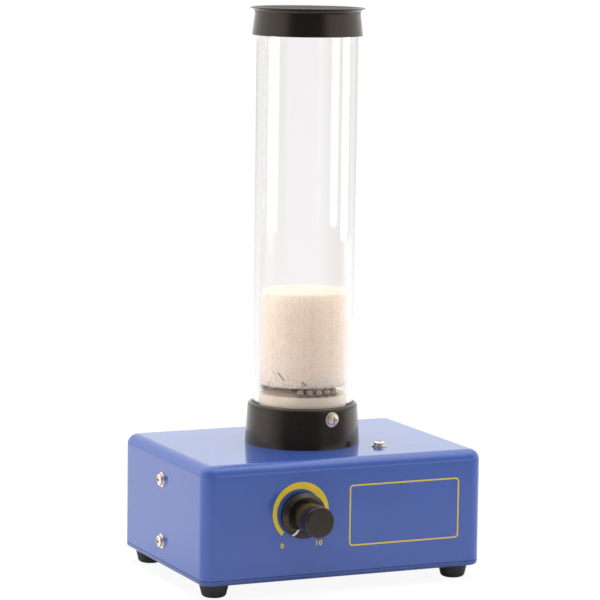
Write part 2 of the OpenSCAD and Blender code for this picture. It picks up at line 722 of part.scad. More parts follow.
module collar_fixing_screws() color("#b9b5ab") in_case() hold_places()
    translate([0, 0, -sheet_t]) rotate([180, 0, 0])
        small_screw(hold_screw_d, sheet_t + hold_screw_depth - hole_gap);

// Clear tube and its cap
module tube() color("#dfe9f2", 0.3) on_tube(top_z) ring(tube_r, bore_r, tube_len);
module top_cap() {
    skirt = socket_r + cap_skirt_wall;
    neck = socket_r + cap_neck_wall;
    rim = neck + cap_rim_lip;
    rim_z = cap_top_h - cap_rim_h;
    cove_r = cap_rim_lip - cap_edge_r;
    color("#2b2a2c") on_tube(tube_top_z) rotate_extrude() polygon(concat(
        [[0, 0], [socket_r, 0], [socket_r, -cap_skirt_h], [skirt - cap_edge_r, -cap_skirt_h],
            [skirt, cap_edge_r - cap_skirt_h]],
        arc(neck + cove_r, rim_z - cove_r, cove_r, 180, 90),
        arc(rim - cap_edge_r, rim_z + cap_edge_r, cap_edge_r, -90, 0),
        arc(rim - cap_edge_r, cap_top_h - cap_edge_r, cap_edge_r, 0, 90),
        [[rim - cap_lip_w, cap_top_h], [rim - cap_lip_w - cap_rim_lip, cap_top_h - cap_dish],
            [0, cap_top_h - cap_dish]]));
}

// What moves in the tube
module foam_float() color("#f1eee2") on_tube(float_z) rotate_extrude() polygon(concat(
    [[0, 0]], arc(float_r - float_edge_r, float_edge_r, float_edge_r, -90, 0),
    arc(float_r - float_edge_r, float_h - float_edge_r, float_edge_r, 0, 90), [[0, float_h]]));
module steel_balls() color("#c8c8c6") on_tube(ball_z) {
    for (run = [[front_start, front_balls], [rear_start, rear_balls]], i = [0:run[1] - 1])
        rotate([0, 0, run[0] + i * ball_step]) translate([ball_ring_r, 0, 0])
            sphere(d = ball_d, $fn = ball_facets);
    sphere(d = ball_d, $fn = ball_facets);
    for (i = [0:middle_ring - 1]) rotate([0, 0, 360 * i / middle_ring])
        translate([ball_d + 2 * ball_gap, 0, 0]) sphere(d = ball_d, $fn = ball_facets);
}
module piston() color("#e9e4d6") on_tube(piston_z) difference() {
    union() {
        difference() {
            cylinder(r = piston_r, h = piston_h);
            translate([0, 0, -cut]) cylinder(r = piston_r - skirt_t, h = piston_h - crown_t + cut);
        }
        for (side = [0, 180]) rotate([0, 0, side]) translate([wrist_boss_gap / 2, 0, wrist_h])
            to_right() cylinder(d = wrist_boss_d, h = piston_r - skirt_t / 2 - wrist_boss_gap / 2);
    }
    translate([-tube_r, 0, wrist_h]) to_right() cylinder(r = pin_d / 2 + fixed_fit, h = tube_d);
}
module wrist_pin() color("#bfc2c6") on_tube(wrist_z) translate([pin_inset - piston_r, 0, 0])
    to_right() cylinder(d = pin_d, h = 2 * (piston_r - pin_inset));

// Connecting rod: its upper eye is a slot that leaves the wrist pin free
module connecting_rod() color("#d6d6d2") on_tube(crank_pin_z) along_x(rod_t) difference() {
    union() {
        circle(r = bush_r + rod_rim);
        translate([-rod_w / 2, 0]) square([rod_w, rod_len]);
        translate([0, rod_len]) stadium(slot_w + 2 * rod_rim, slot_h + 2 * rod_rim);
    }
    circle(r = bush_r + fixed_fit);
    translate([0, rod_len]) stadium(slot_w, slot_h);
}
module rod_bush() color("#c79a4b") on_tube(crank_pin_z) translate([-rod_t / 2, 0, 0])
    to_right() ring(bush_r, bush_bore_r, rod_t);

// Crank: a disc on the motor's shaft with an offset pin
module crank_disc() color("#aeb2b6") on_tube(shaft_z) difference() {
    translate([disc_left_x, 0, 0]) to_right() cylinder(d = crank_disc_d, h = crank_disc_t);
    translate([disc_left_x - cut, 0, 0]) to_right()
        cylinder(r = shaft_r + fixed_fit, h = shaft_seat + cut);
    translate([disc_right_x - pin_seat, 0, -crank_r]) to_right()
        cylinder(r = pin_d / 2 + fixed_fit, h = pin_seat + cut);
    translate([disc_left_x + shaft_seat / 2, 0, 0])
        cylinder(r = set_screw_d / 2 + fixed_fit, h = crank_disc_d);
}
module crank_pin() color("#bfc2c6") on_tube(crank_pin_z) translate([disc_right_x - pin_seat, 0, 0])
    to_right() cylinder(d = pin_d, h = clip_x + clip_t + pin_past - disc_right_x + pin_seat);
module crank_pin_clip() color("#8d9196") on_tube(crank_pin_z) translate([clip_x, 0, 0])
    to_right() ring(clip_d / 2, pin_d / 2 + fixed_fit, clip_t);
module crank_grub_screw() color("#4a4d52") on_tube(shaft_z)
    translate([disc_left_x + shaft_seat / 2, 0, shaft_r + fixed_fit])
        cylinder(d = set_screw_d, h = crank_disc_d / 2 - shaft_r - set_screw_inset);

// Motor
module face_screw_places() for (s = [-1, 1]) translate([plate_x, s * face_screw_gap / 2, 0])
    rotate([0, 90, 0]) children();
module motor_can() color("#b4b8bd") on_tube(shaft_z) difference() {
    translate([motor_back_x, 0, 0]) to_right() cylinder(r = motor_r, h = motor_len);
    translate([motor_back_x - cut, 0, 0]) to_right()
        cylinder(r = motor_r - motor_wall, h = motor_len - front_wall + cut);
    translate([motor_back_x, 0, 0]) to_right()
        cylinder(r = spigot_d / 2 + fixed_fit, h = motor_len + cut);
    face_screw_places() translate([0, 0, -bracket_t - front_wall - cut])
        cylinder(r = face_screw_d / 2 + fixed_fit, h = front_wall + 2 * cut);
}
module motor_end_cap() color("#1f2023") on_tube(shaft_z) difference() {
    translate([motor_end_x, 0, 0]) to_right() cylinder(r = motor_r, h = motor_end_len);
    translate([motor_back_x - shaft_in_end, 0, 0]) to_right()
        cylinder(r = shaft_r + run_fit, h = motor_end_len);
}
module motor_bearing() color("#c79a4b") on_tube(shaft_z) difference() {
    translate([motor_face_x, 0, 0]) to_right() {
        cylinder(d = bearing_d, h = bearing_len);
        translate([0, 0, -bearing_in]) cylinder(d = spigot_d, h = bearing_in);
    }
    translate([motor_back_x, 0, 0]) to_right() cylinder(r = shaft_r + run_fit, h = 2 * motor_len);
}
module motor_shaft() color("#bfc2c6") on_tube(shaft_z)
    translate([motor_back_x - shaft_in_end + hole_gap, 0, 0]) to_right()
        cylinder(r = shaft_r, h = disc_left_x + shaft_seat - motor_back_x + shaft_in_end - hole_gap);
module motor_armature() color("#9a5a35") on_tube(shaft_z)
    translate([motor_face_x - armature_from - armature_len, 0, 0]) to_right()
        ring(armature_r, shaft_r + fixed_fit, armature_len);
module motor_magnets() color("#3b3b3f") on_tube(shaft_z) difference() {
    translate([motor_face_x - armature_from - armature_len, 0, 0]) to_right()
        ring(magnet_r, magnet_r - magnet_t, armature_len);
    translate([motor_face_x - armature_from - armature_len / 2, 0, 0])
        cube([motor_len, motor_d, magnet_split], center = true);
}
module motor_terminals() color("#c9c5bb") on_tube(shaft_z) for (s = [-1, 1])
    translate([motor_tab_x, s * terminal_y - terminal_t / 2, -terminal_w / 2])
        cube([terminal_len, terminal_t, terminal_w]);
module motor_bracket() color("#a9adb2") difference() {
    on_tube(shaft_z) difference() {
        translate([-wall_x, -bracket_w / 2, -bracket_half])
            cube([wall_x + plate_x, bracket_w, 2 * bracket_half]);
        translate([bracket_t - wall_x, -bracket_w / 2 - cut, bracket_t - bracket_half])
            cube([wall_x + plate_x - 2 * bracket_t, bracket_w + 2 * cut,
                2 * (bracket_half - bracket_t)]);
        translate([motor_face_x - cut, 0, 0]) to_right()
            cylinder(r = bearing_d / 2 + hole_gap, h = bracket_t + 2 * cut);
        face_screw_places() translate([0, 0, -bracket_t - cut])
            cylinder(r = face_screw_d / 2 + hole_gap, h = bracket_t + 2 * cut);
    }
    in_case() side_places() translate([0, 0, -sheet_t - bracket_t - cut])
        cylinder(r = screw_d / 2 + hole_gap, h = bracket_t + 2 * cut);
}
module motor_screws() color("#b9b5ab") on_tube(shaft_z) face_screw_places()
    small_screw(face_screw_d, bracket_t + 2 * front_wall);

// Speed control: drawn upright and turned to point out of the panel
module knob_place() translate([-knob_left, -case_d / 2, knob_z]) rotate([90, 0, 0]) children();
module on_panel(z) in_case() knob_place() translate([0, 0, z]) children();
module potentiometer_body() color("#3f6f4a") on_panel(-sheet_t - pot_len) difference() {
    union() {
        cylinder(r = pot_r, h = pot_len);
        translate([-pot_block_w / 2, -pot_r - pot_block, (pot_len - pot_block_t) / 2])
            cube([pot_block_w, pot_r, pot_block_t]);
    }
    translate([0, 0, pot_len - pot_shaft_in]) cylinder(r = pot_shaft_r + run_fit, h = pot_len);
}
module potentiometer_bushing() color("#c0b48c") on_panel(-sheet_t)
    ring(pot_bush_d / 2, pot_shaft_r + run_fit, sheet_t + pot_bush_len);
module potentiometer_terminals() color("#c9c5bb") on_panel(-sheet_t - pot_len / 2)
    for (s = [-1, 0, 1]) translate([s * pot_tab_gap - pot_tab_w / 2,
        -pot_r - pot_block - pot_tab_len, -pot_tab_t / 2]) cube([pot_tab_w, pot_tab_len, pot_tab_t]);
module potentiometer_shaft() color("#b9b5ab") on_panel(hole_gap - sheet_t - pot_shaft_in)
    cylinder(r = pot_shaft_r,
        h = sheet_t + pot_shaft_in + front_reach - knob_front_wall - 2 * hole_gap);
module potentiometer_washer() color("#c4bda9") on_panel(0)
    ring(pot_washer_d / 2, pot_bush_d / 2 + hole_gap, washer_t);
module potentiometer_nut() color("#c0b48c") on_panel(washer_t)
    hex_nut(pot_nut_af, pot_bush_d / 2 + fixed_fit, pot_nut_t);

// Knob: the pointer line fills a groove across the sloping skirt
module pointer_band(lift) intersection() {
    rotate_extrude() polygon([[skirt_r, skirt_edge - groove], [skirt_r, skirt_edge + lift],
        [ledge_r, slope_top + lift], [body_r, slope_top + lift],
        [body_r, slope_top - groove], [ledge_r, slope_top - groove]]);
    rotate([0, 0, pointer_angle]) translate([0, -pointer_w / 2, 0])
        cube([knob_skirt_d, pointer_w, knob_len]);
}
module set_screw_place() translate([0, 0, set_screw_z]) rotate([0, 0, set_screw_angle])
    rotate([0, 90, 0]) children();
module control_knob() color("#232225") on_panel(knob_gap) difference() {
    rotate_extrude() polygon(concat(
        [[knob_bore_r, knob_recess], [recess_r, knob_recess], [recess_r, 0], [skirt_r, 0],
            [skirt_r, skirt_edge], [ledge_r, slope_top], [body_r, slope_top]],
        arc(front_r - knob_edge_r, knob_len - knob_edge_r, knob_edge_r, 0, 90),
        [[0, knob_len], [0, knob_len - knob_front_wall], [knob_bore_r, knob_len - knob_front_wall]]));
    pointer_band(2 * groove);
    set_screw_place() cylinder(r = set_screw_d / 2 + fixed_fit, h = knob_body_d);
}
module knob_pointer() color("#f4f2ea") on_panel(knob_gap) pointer_band(line_proud);
module knob_set_screw() color("#4a4d52") on_panel(knob_gap) set_screw_place()
    translate([0, 0, pot_shaft_r + fixed_fit])
        cylinder(d = set_screw_d, h = front_r - pot_shaft_r - set_screw_inset);

// Regulator: its metal tab lies against the underside of the top face
module regulator() color("#1d1d20") in_case() top_screw_place()
    translate([-reg_w / 2, reg_body_y, reg_tab_z - reg_body_h]) cube([reg_w, reg_body_len, reg_body_h]);
module regulator_metal() color("#c9c5bb") in_case() top_screw_place() {
    difference() {
        translate([-reg_w / 2, -reg_tab_front, reg_tab_z])
            cube([reg_w, reg_tab_front + reg_end_y, reg_tab_t]);
        translate([0, 0, reg_tab_z - cut])
            cylinder(r = screw_d / 2 + hole_gap, h = reg_tab_t + 2 * cut);
    }
    for (s = [-1, 0, 1]) translate([s * reg_leg_gap - reg_leg_w / 2, reg_end_y,
        reg_leg_z - reg_leg_t / 2]) cube([reg_leg_w, reg_leg_len, reg_leg_t]);
}

// Supply sockets: drawn upright and turned to point out of the rear wall
module socket_at(x) translate([x, case_d / 2, socket_z]) rotate([-90, 0, 0]) children();
module socket_places() for (x = [red_x, black_x]) socket_at(x) children();
module socket_body() difference() {
    union() {
        cylinder(d = socket_flange_d, h = socket_flange_t);
        translate([0, 0, -socket_neck_len]) cylinder(d = socket_neck_d, h = socket_neck_len);
    }
    translate([0, 0, -socket_neck_len - cut])
        cylinder(r = sleeve_r + fixed_fit, h = socket_neck_len + socket_flange_t + 2 * cut);
}
module socket_sleeve() difference() {
    union() {
        translate([0, 0, sleeve_end]) cylinder(r = sleeve_r, h = socket_bore_len);
        translate([0, 0, tail_end]) cylinder(r = tail_r, h = socket_tail);
    }
    translate([0, 0, sleeve_end]) cylinder(r = plug_d / 2 + plug_fit, h = socket_bore_len + cut);
}
module socket_red_body() color("#b3262b") in_case() socket_at(red_x) socket_body();
module socket_black_body() color("#202024") in_case() socket_at(black_x) socket_body();
module socket_sleeves() color("#c7a659") in_case() socket_places() socket_sleeve();
module socket_nuts() color("#b9b5ab") in_case() socket_places()
    translate([0, 0, -sheet_t - nut_t]) hex_nut(socket_nut_af, socket_neck_d / 2 + fixed_fit, nut_t);

// Inner leads
module lead_supply_red() color("#b3262b") lead(supply_red_route, [0, 1, 0], [0, 1, 0]);
module lead_motor_red() color("#b3262b") lead(motor_red_route, [0, 1, 0], [0, -1, 0]);
module lead_supply_black() color("#202024") lead(supply_black_route, [0, -1, 0], [0, 1, 0]);
module lead_control_a() color("#d8b93a") lead(control_a_route, [0, 0, -1], [0, -1, 0]);
module lead_control_b() color("#202024") lead(control_b_route, [0, 0, -1], [0, 1, 0]);

cover_top();
cover_front();
cover_rear();
cover_sides();
cover_corners();
corner_angles();
base_tray();
foot(-1, -1);  // foot_front_left
foot(1, -1);  // foot_front_right
foot(-1, 1);  // foot_rear_left
foot(1, 1);  // foot_rear_right
foot_screws();
side_screws();
top_screw();
machine_nuts();
plain_washers();
tube_collar();
collar_screws();
collar_fixing_screws();
tube();
top_cap();
foam_float();
steel_balls();
piston();
wrist_pin();
connecting_rod();
rod_bush();
crank_disc();
crank_pin();
crank_pin_clip();
crank_grub_screw();
motor_can();
motor_end_cap();
motor_bearing();
motor_shaft();
motor_armature();
motor_magnets();
motor_terminals();
motor_bracket();
motor_screws();
potentiometer_body();
potentiometer_bushing();
potentiometer_terminals();
potentiometer_shaft();
potentiometer_washer();
potentiometer_nut();
control_knob();
knob_pointer();
knob_set_screw();
regulator();
regulator_metal();
socket_red_body();
socket_black_body();
socket_sleeves();
socket_nuts();
lead_supply_red();
lead_motor_red();
lead_supply_black();
lead_control_a();
lead_control_b();
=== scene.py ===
# %% [markdown]
# # A kinetic theory apparatus
# A motor in a painted steel case shakes a piston at the foot of a clear tube. Small steel balls
# bounce on the piston and throw a light foam float up the tube, as molecules push on a lid.
# The working parts come from the imported model, already in metres and in place. This lesson gives
# them their finishes, turns the tube and the float again with finer surfaces, and makes the panel's
# printing.

# %% Load the imported model
import json

import bpy
import numpy as np
from mathutils import Matrix, Vector


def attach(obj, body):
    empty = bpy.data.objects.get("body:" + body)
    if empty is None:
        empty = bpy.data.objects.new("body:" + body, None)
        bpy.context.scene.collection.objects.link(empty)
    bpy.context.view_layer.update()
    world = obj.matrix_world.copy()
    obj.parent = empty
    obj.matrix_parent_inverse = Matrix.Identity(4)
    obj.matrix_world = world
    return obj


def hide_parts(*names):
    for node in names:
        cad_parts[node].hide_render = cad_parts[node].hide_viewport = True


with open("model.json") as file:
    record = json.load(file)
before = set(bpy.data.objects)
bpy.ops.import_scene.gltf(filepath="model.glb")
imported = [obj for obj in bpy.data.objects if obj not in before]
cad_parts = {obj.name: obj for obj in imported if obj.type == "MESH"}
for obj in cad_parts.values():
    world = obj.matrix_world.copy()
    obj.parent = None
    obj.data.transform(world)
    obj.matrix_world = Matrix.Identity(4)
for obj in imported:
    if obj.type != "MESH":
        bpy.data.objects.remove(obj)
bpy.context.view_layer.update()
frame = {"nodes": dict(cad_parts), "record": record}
nodes = frame["nodes"]

# %% [markdown]
# ## One set of sizes
# Sizes are written in millimetres from the middle of the case, as a fitter would measure them.
# The case stands a little off the model's own middle, because the knob and the screw heads stick
# out, so `place` moves a point by that much and turns millimetres into metres.

# %% Places and sizes
CASE_MIDDLE = np.array([1.3, 9.5, 0.0])
CASE_TOP = 65.3                         # height of the case's top face
PANEL = -53.5                           # depth at which the front panel lies
TUBE_END = CASE_TOP + 213.5             # height of the tube's upper end


def place(points):
    """Millimetres from the case's middle, turned into metres in the model's frame."""
    return (np.asarray(points, float) + CASE_MIDDLE) / 1000.0


print("tube's foot:", place([0, 0, CASE_TOP]))

# %% [markdown]
# ## The camera
# The photograph was taken from well back, a little above the case and from its left. Straight
# edges of the case and the rings of the tube were measured in the picture, and one position fitted
# them all: a camera with a long lens, 1.52 m away, turned 24 degrees and looking down 7 degrees.

# %% Camera
PICTURE_WIDTH = 600.0                   # pixels, the unit of the focal length below
SENSOR_WIDTH = 36.0                     # millimetres


def look(distance, turn, down, roll, focal, aim_right, aim_height):
    """A camera on a line through its aim. Forward is the turn and the dip written as a direction,
    right lies level across it, and right and up are then turned by the roll."""
    a, e, r = np.radians([turn, down, roll])
    forward = np.array([np.sin(a) * np.cos(e), np.cos(a) * np.cos(e), -np.sin(e)])
    level = np.array([np.cos(a), -np.sin(a), 0.0])
    upright = np.cross(level, forward)
    aim = np.array([aim_right * np.cos(a), -aim_right * np.sin(a), aim_height])
    matrix = np.eye(4)
    matrix[:3, 0] = np.cos(r) * level + np.sin(r) * upright
    matrix[:3, 1] = np.cos(r) * upright - np.sin(r) * level
    matrix[:3, 2] = -forward
    matrix[:3, 3] = place(aim - distance * forward)
    data = bpy.data.cameras.new("camera")
    data.sensor_width = SENSOR_WIDTH
    data.lens = focal / PICTURE_WIDTH * SENSOR_WIDTH
    data.clip_start, data.clip_end = 0.05, 50.0
    camera = bpy.data.objects.new("camera", data)
    bpy.context.scene.collection.objects.link(camera)
    camera.matrix_world = Matrix(matrix.tolist())
    return camera


bpy.context.scene.camera = look(distance=1520.8, turn=24.294, down=7.368, roll=0.802, focal=3050.0,
                                aim_right=-1.895, aim_height=136.513)
print("camera at", [round(v, 3) for v in bpy.context.scene.camera.matrix_world.translation])

# %% [markdown]
# ## Nodes in few words
# Every finish below is a small tree of nodes. A few helpers keep the trees readable: `put` adds a
# node and fills its inputs, and a value that is itself a socket is joined instead of copied.
# `group` opens a shader node group with named inputs and outputs, so that one effect is built
# once, and `placed` puts it in a material with its own values.

# %% Node helpers
def fill(tree, node, inputs):
    """Fills sockets by name, with _ for a space, or by number. A value that is a socket is joined."""
    for key, value in inputs.items():
        name = key[1:]
        socket = node.inputs[int(name)] if name.isdigit() else node.inputs[key.replace("_", " ")]
        if isinstance(value, bpy.types.NodeSocket):
            tree.links.new(value, socket)
        else:
            socket.default_value = value


def put(tree, kind, settings=None, **inputs):
    """One node. Settings are its own choices, and inputs are its sockets."""
    node = tree.nodes.new("ShaderNode" + kind)
    for key, value in (settings or {}).items():
        setattr(node, key, value)
    fill(tree, node, inputs)
    return node


def maths(tree, operation, a, b=0.0, c=0.0, clamp=False):
    """The result of one step of arithmetic."""
    settings = {"operation": operation, "use_clamp": clamp}
    return put(tree, "Math", settings, _0=a, _1=b, _2=c).outputs[0]


def spread(tree, value, low, high, to_low=0.0, to_high=1.0):
    """A value between low and high, eased into a value between to_low and to_high."""
    return put(tree, "MapRange", {"interpolation_type": "SMOOTHSTEP"}, Value=value, From_Min=low,
               From_Max=high, To_Min=to_low, To_Max=to_high).outputs[0]


def choose(tree, share, a, b):
    """Two numbers mixed by a share between 0 and 1."""
    return put(tree, "Mix", {"data_type": "FLOAT"}, _0=share, _2=a, _3=b).outputs[0]


def blend(tree, share, a, b):
    """Two colours mixed by a share between 0 and 1."""
    return put(tree, "Mix", {"data_type": "RGBA"}, _0=share, _6=a, _7=b).outputs[2]


def noise(tree, spot, scale, detail, roughness=0.5):
    """A smooth random value. Scale is how many of its waves go into a metre."""
    return put(tree, "TexNoise", Vector=spot, Scale=scale, Detail=detail,
               Roughness=roughness).outputs[0]


def spot_on(tree):
    """Where a point lies on the object, in metres."""
    return put(tree, "TexCoord").outputs["Object"]


def group(name, takes, gives):
    """A node group. Takes and gives list the sockets as (name, kind, value)."""
    tree = bpy.data.node_groups.new(name, "ShaderNodeTree")
    for way, sockets in (("INPUT", takes), ("OUTPUT", gives)):
        for label, kind, *value in sockets:
            socket = tree.interface.new_socket(label, in_out=way, socket_type="NodeSocket" + kind)
            if value:
                socket.default_value = value[0]
    return tree, tree.nodes.new("NodeGroupInput").outputs, tree.nodes.new("NodeGroupOutput").inputs


def placed(tree, made, **inputs):
    """A group placed in a material with its own values."""
    node = tree.nodes.new("ShaderNodeGroup")
    node.node_tree = made
    fill(tree, node, inputs)
    return node.outputs


def straight(tree, path):
    """1 for a camera ray and for one that has passed through clear plastic, else 0."""
    return maths(tree, "MAXIMUM", path["Is Camera Ray"], path["Is Transmission Ray"])


print("helpers ready")

# %% [markdown]
# ## The studio
# The real object stood on a white sweep. White walls at its sides and behind it show in the gloss
# of the paint, and the room behind the camera was dim, so what faces the camera mirrors little and
# keeps its colour. The world does the same: its light depends on direction alone. A mirror ray
# finds it bright near the horizon, brightest overhead, where the lamp hangs, and dark towards the
# front. Matt surfaces get a softer light, more of it from low down and less from the front. A
# camera ray, and one that has passed through clear plastic, meets white.

# %% World
# What a mirror ray meets at each height, from straight down at 0 to straight up at 1.
HEIGHTS = [(0.0, 0.90), (0.47, 1.20), (0.58, 1.32), (0.66, 1.15), (0.76, 1.30),
           (0.87, 1.70), (0.93, 2.40), (1.0, 2.40)]
FRONT = (-0.445, -0.895, 0.0)           # level, towards the room behind the camera
# The dim room: how far to the front it starts and is full, and the light that it takes away.
ROOM, ROOM_LOSS = (0.60, 0.88), 0.88
# Its ceiling: how far to the front, between which heights it sets in, and what it takes away.
CEILING, CEILING_RISE, CEILING_LOSS = (0.0, 0.50), (0.20, 0.32), 0.78
# The softer light of matt surfaces, what it loses to the front, and its change with height.
SOFT, SOFT_FRONT, SOFT_LOSS = 0.62, (0.15, 0.85), 0.16
SOFT_BY_HEIGHT = (0.15, 0.45, 1.35, 0.80)
MIRRORED_WHITE = (0.98, 1.0, 0.96, 1.0)  # the walls' white as the gloss shows it
WHITE = (1.0, 1.0, 1.0, 1.0)


def studio_world():
    """The ramp reads the height of a direction, from 0 straight down to 1 straight up. How far the
    direction points to the front is its dot product with FRONT. Each loss is a share of the light
    that is taken away, as 1 - loss times how far it applies."""
    world = bpy.data.worlds.new("studio")
    bpy.context.scene.world = world
    world.use_nodes = True
    tree = world.node_tree
    tree.nodes.clear()
    way = put(tree, "TexCoord").outputs["Generated"]
    z = put(tree, "SeparateXYZ", Vector=way).outputs[2]
    height = put(tree, "ValToRGB", Fac=maths(tree, "MULTIPLY_ADD", z, 0.5, 0.5))
    for i, (at, level) in enumerate(HEIGHTS):
        stop = height.color_ramp.elements[i] if i < 2 else height.color_ramp.elements.new(at)
        stop.position, stop.color = at, (level, level, level, 1.0)
    facing = put(tree, "VectorMath", {"operation": "DOT_PRODUCT"}, _0=way, _1=FRONT).outputs["Value"]
    room = maths(tree, "MULTIPLY_ADD", spread(tree, facing, *ROOM), -ROOM_LOSS, 1.0)
    ahead = maths(tree, "MULTIPLY", spread(tree, facing, *CEILING), spread(tree, z, *CEILING_RISE))
    ceiling = maths(tree, "MULTIPLY_ADD", ahead, -CEILING_LOSS, 1.0)
    mirrored = maths(tree, "MULTIPLY", height.outputs[0], room)
    mirrored = maths(tree, "MULTIPLY", mirrored, ceiling)
    soft = maths(tree, "MULTIPLY_ADD", spread(tree, facing, *SOFT_FRONT), -SOFT_LOSS, SOFT)
    soft = maths(tree, "MULTIPLY", soft, spread(tree, z, *SOFT_BY_HEIGHT))
    path = put(tree, "LightPath").outputs
    glossy, clear = path["Is Glossy Ray"], straight(tree, path)
    level = choose(tree, clear, choose(tree, glossy, soft, mirrored), 1.0)
    mirrors = maths(tree, "SUBTRACT", glossy, clear, clamp=True)
    shade = put(tree, "Background", Strength=level, Color=blend(tree, mirrors, WHITE, MIRRORED_WHITE))
    put(tree, "OutputWorld", Surface=shade.outputs[0])


studio_world()
bpy.context.scene.view_settings.view_transform = "Standard"
print("world:", bpy.context.scene.world.name)

# %% [markdown]
# The floor is pale and matt. To the camera it mostly glows, a little more where the lamps fall off,
# so that it is white up to the horizon and keeps a faint soft shadow under the feet. In reflections
# it darkens towards the front, where the table ended, and glows behind, where the sweep was lit.

# %% Floor
FLOOR_SIZE = 6.0                             # metres to each side
MATT_TONE, SEEN_TONE = 0.8, 0.10             # for light that spreads, and to the camera
MIRRORED_TONE = (-0.55, -0.12, 0.16, 0.85)   # from y to y, in metres, from tone to tone
MIRRORED_GLOW = (-0.14, 0.12, 0.0, 0.28)     # from y to y, from glow to glow
SEEN_GLOW = (0.3, 2.2, 0.925, 0.955)         # from distance to distance, from glow to glow


def floor_material():
    """A matt floor plus a glow, each chosen by the kind of ray that meets it."""
    made = bpy.data.materials.new("floor")
    made.use_nodes = True
    tree = made.node_tree
    tree.nodes.clear()
    path = put(tree, "LightPath").outputs
    glossy, clear = path["Is Glossy Ray"], straight(tree, path)
    spot = spot_on(tree)
    y = put(tree, "SeparateXYZ", Vector=spot).outputs[1]
    away = put(tree, "VectorMath", {"operation": "LENGTH"}, _0=spot).outputs["Value"]
    tone = choose(tree, glossy, MATT_TONE, spread(tree, y, *MIRRORED_TONE))
    tone = choose(tree, clear, tone, SEEN_TONE)
    colour = put(tree, "CombineColor", Red=tone, Green=tone, Blue=tone).outputs[0]
    matt = put(tree, "BsdfDiffuse", Color=colour).outputs[0]
    glow = choose(tree, glossy, 0.0, spread(tree, y, *MIRRORED_GLOW))
    glow = choose(tree, clear, glow, spread(tree, away, *SEEN_GLOW))
    glowing = put(tree, "Emission", Color=WHITE, Strength=glow).outputs[0]
    put(tree, "OutputMaterial", Surface=put(tree, "AddShader", _0=matt, _1=glowing).outputs[0])
    return made


floor_mesh = bpy.data.meshes.new("floor")
corners = [(-1, -1, 0), (1, -1, 0), (1, 1, 0), (-1, 1, 0)]
floor_mesh.from_pydata((np.array(corners) * FLOOR_SIZE).tolist(), [], [(0, 1, 2, 3)])
floor = bpy.data.objects.new("floor", floor_mesh)
bpy.context.scene.collection.objects.link(floor)
floor_mesh.materials.append(floor_material())
print("floor:", FLOOR_SIZE * 2, "m across")

# %% [markdown]
# A broad lamp overhead whitens the top of the float and of the case, and one soft lamp on each
# side brightens the flanks of the round pieces. Mirror rays pass the lamps by, because the world
# already holds what the gloss should show.

# %% Lamps
LAMP_AIM = (0.0, 0.0, 0.15)
LAMPS = [("lamp_above", (0.0, 0.1, 1.7), (1.3, 1.3), 24.0),
         ("lamp_left", (-1.5, 0.5, 0.30), (0.7, 0.6), 6.5),
         ("lamp_right", (1.5, -0.1, 0.30), (0.7, 0.6), 9.0)]


def softbox(name, at, size, watts):
    """A rectangular lamp that faces LAMP_AIM and doesn't show in mirrors."""
    data = bpy.data.lights.new(name, "AREA")
    data.shape, data.size, data.size_y, data.energy = "RECTANGLE", size[0], size[1], watts
    lamp = bpy.data.objects.new(name, data)
    bpy.context.scene.collection.objects.link(lamp)
    lamp.location = at
    lamp.visible_glossy = False
    lamp.rotation_euler = (Vector(LAMP_AIM) - lamp.location).to_track_quat("-Z", "Y").to_euler()


for row in LAMPS:
    softbox(*row)

# %% [markdown]
# ## Effects that many finishes share
# No real surface is one flat colour. `uneven_colour` drifts a colour slowly and adds a fine fleck.
# `fine_relief` is the texture left by spraying, moulding or casting, as a height for a bump node.
# `scuffs` is a mask of short thin marks and settled dust. `drawn_lines` is a height that runs
# along one direction, as on drawn wire, turned steel and extruded plastic.

# %% Uneven colour
def in_size(tree, waves, size):
    """A noise scale: so many waves in a piece of the size, which is in millimetres."""
    return maths(tree, "DIVIDE", waves * 1000.0, size)


uneven_colour, takes, gives = group(
    "uneven_colour",
    [("Color", "Color", (0.5, 0.5, 0.5, 1.0)), ("Amount", "Float", 0.1), ("Size", "Float", 12.0)],
    [("Color", "Color")])
tree, spot = uneven_colour, spot_on(uneven_colour)
slow = noise(tree, spot, in_size(tree, 1.0, takes["Size"]), 3.0, 0.6)
fleck = noise(tree, spot, in_size(tree, 16.0, takes["Size"]), 2.0)
drift = maths(tree, "ADD", maths(tree, "MULTIPLY", slow, 0.7), maths(tree, "MULTIPLY", fleck, 0.3))
level = maths(tree, "MULTIPLY_ADD", maths(tree, "SUBTRACT", drift, 0.5),
              maths(tree, "MULTIPLY", takes["Amount"], 4.0), 1.0)
varied = put(tree, "HueSaturation", Value=level, Color=takes["Color"]).outputs[0]
tree.links.new(varied, gives["Color"])
print("uneven colour takes", list(takes.keys()))

# %% Fine relief
fine_relief, takes, gives = group(
    "fine_relief", [("Size", "Float", 1.0), ("Grit", "Float", 0.4)], [("Height", "Float")])
tree, spot = fine_relief, spot_on(fine_relief)
swell = noise(tree, spot, in_size(tree, 1.0, takes["Size"]), 2.0)
grit = noise(tree, spot, in_size(tree, 5.0, takes["Size"]), 3.0, 0.7)
height = maths(tree, "ADD", swell, maths(tree, "MULTIPLY", grit, takes["Grit"]))
tree.links.new(height, gives["Height"])
print("fine relief takes", list(takes.keys()))

# %% Scuffs
DUST_WAVES = 2600.0                     # in a metre

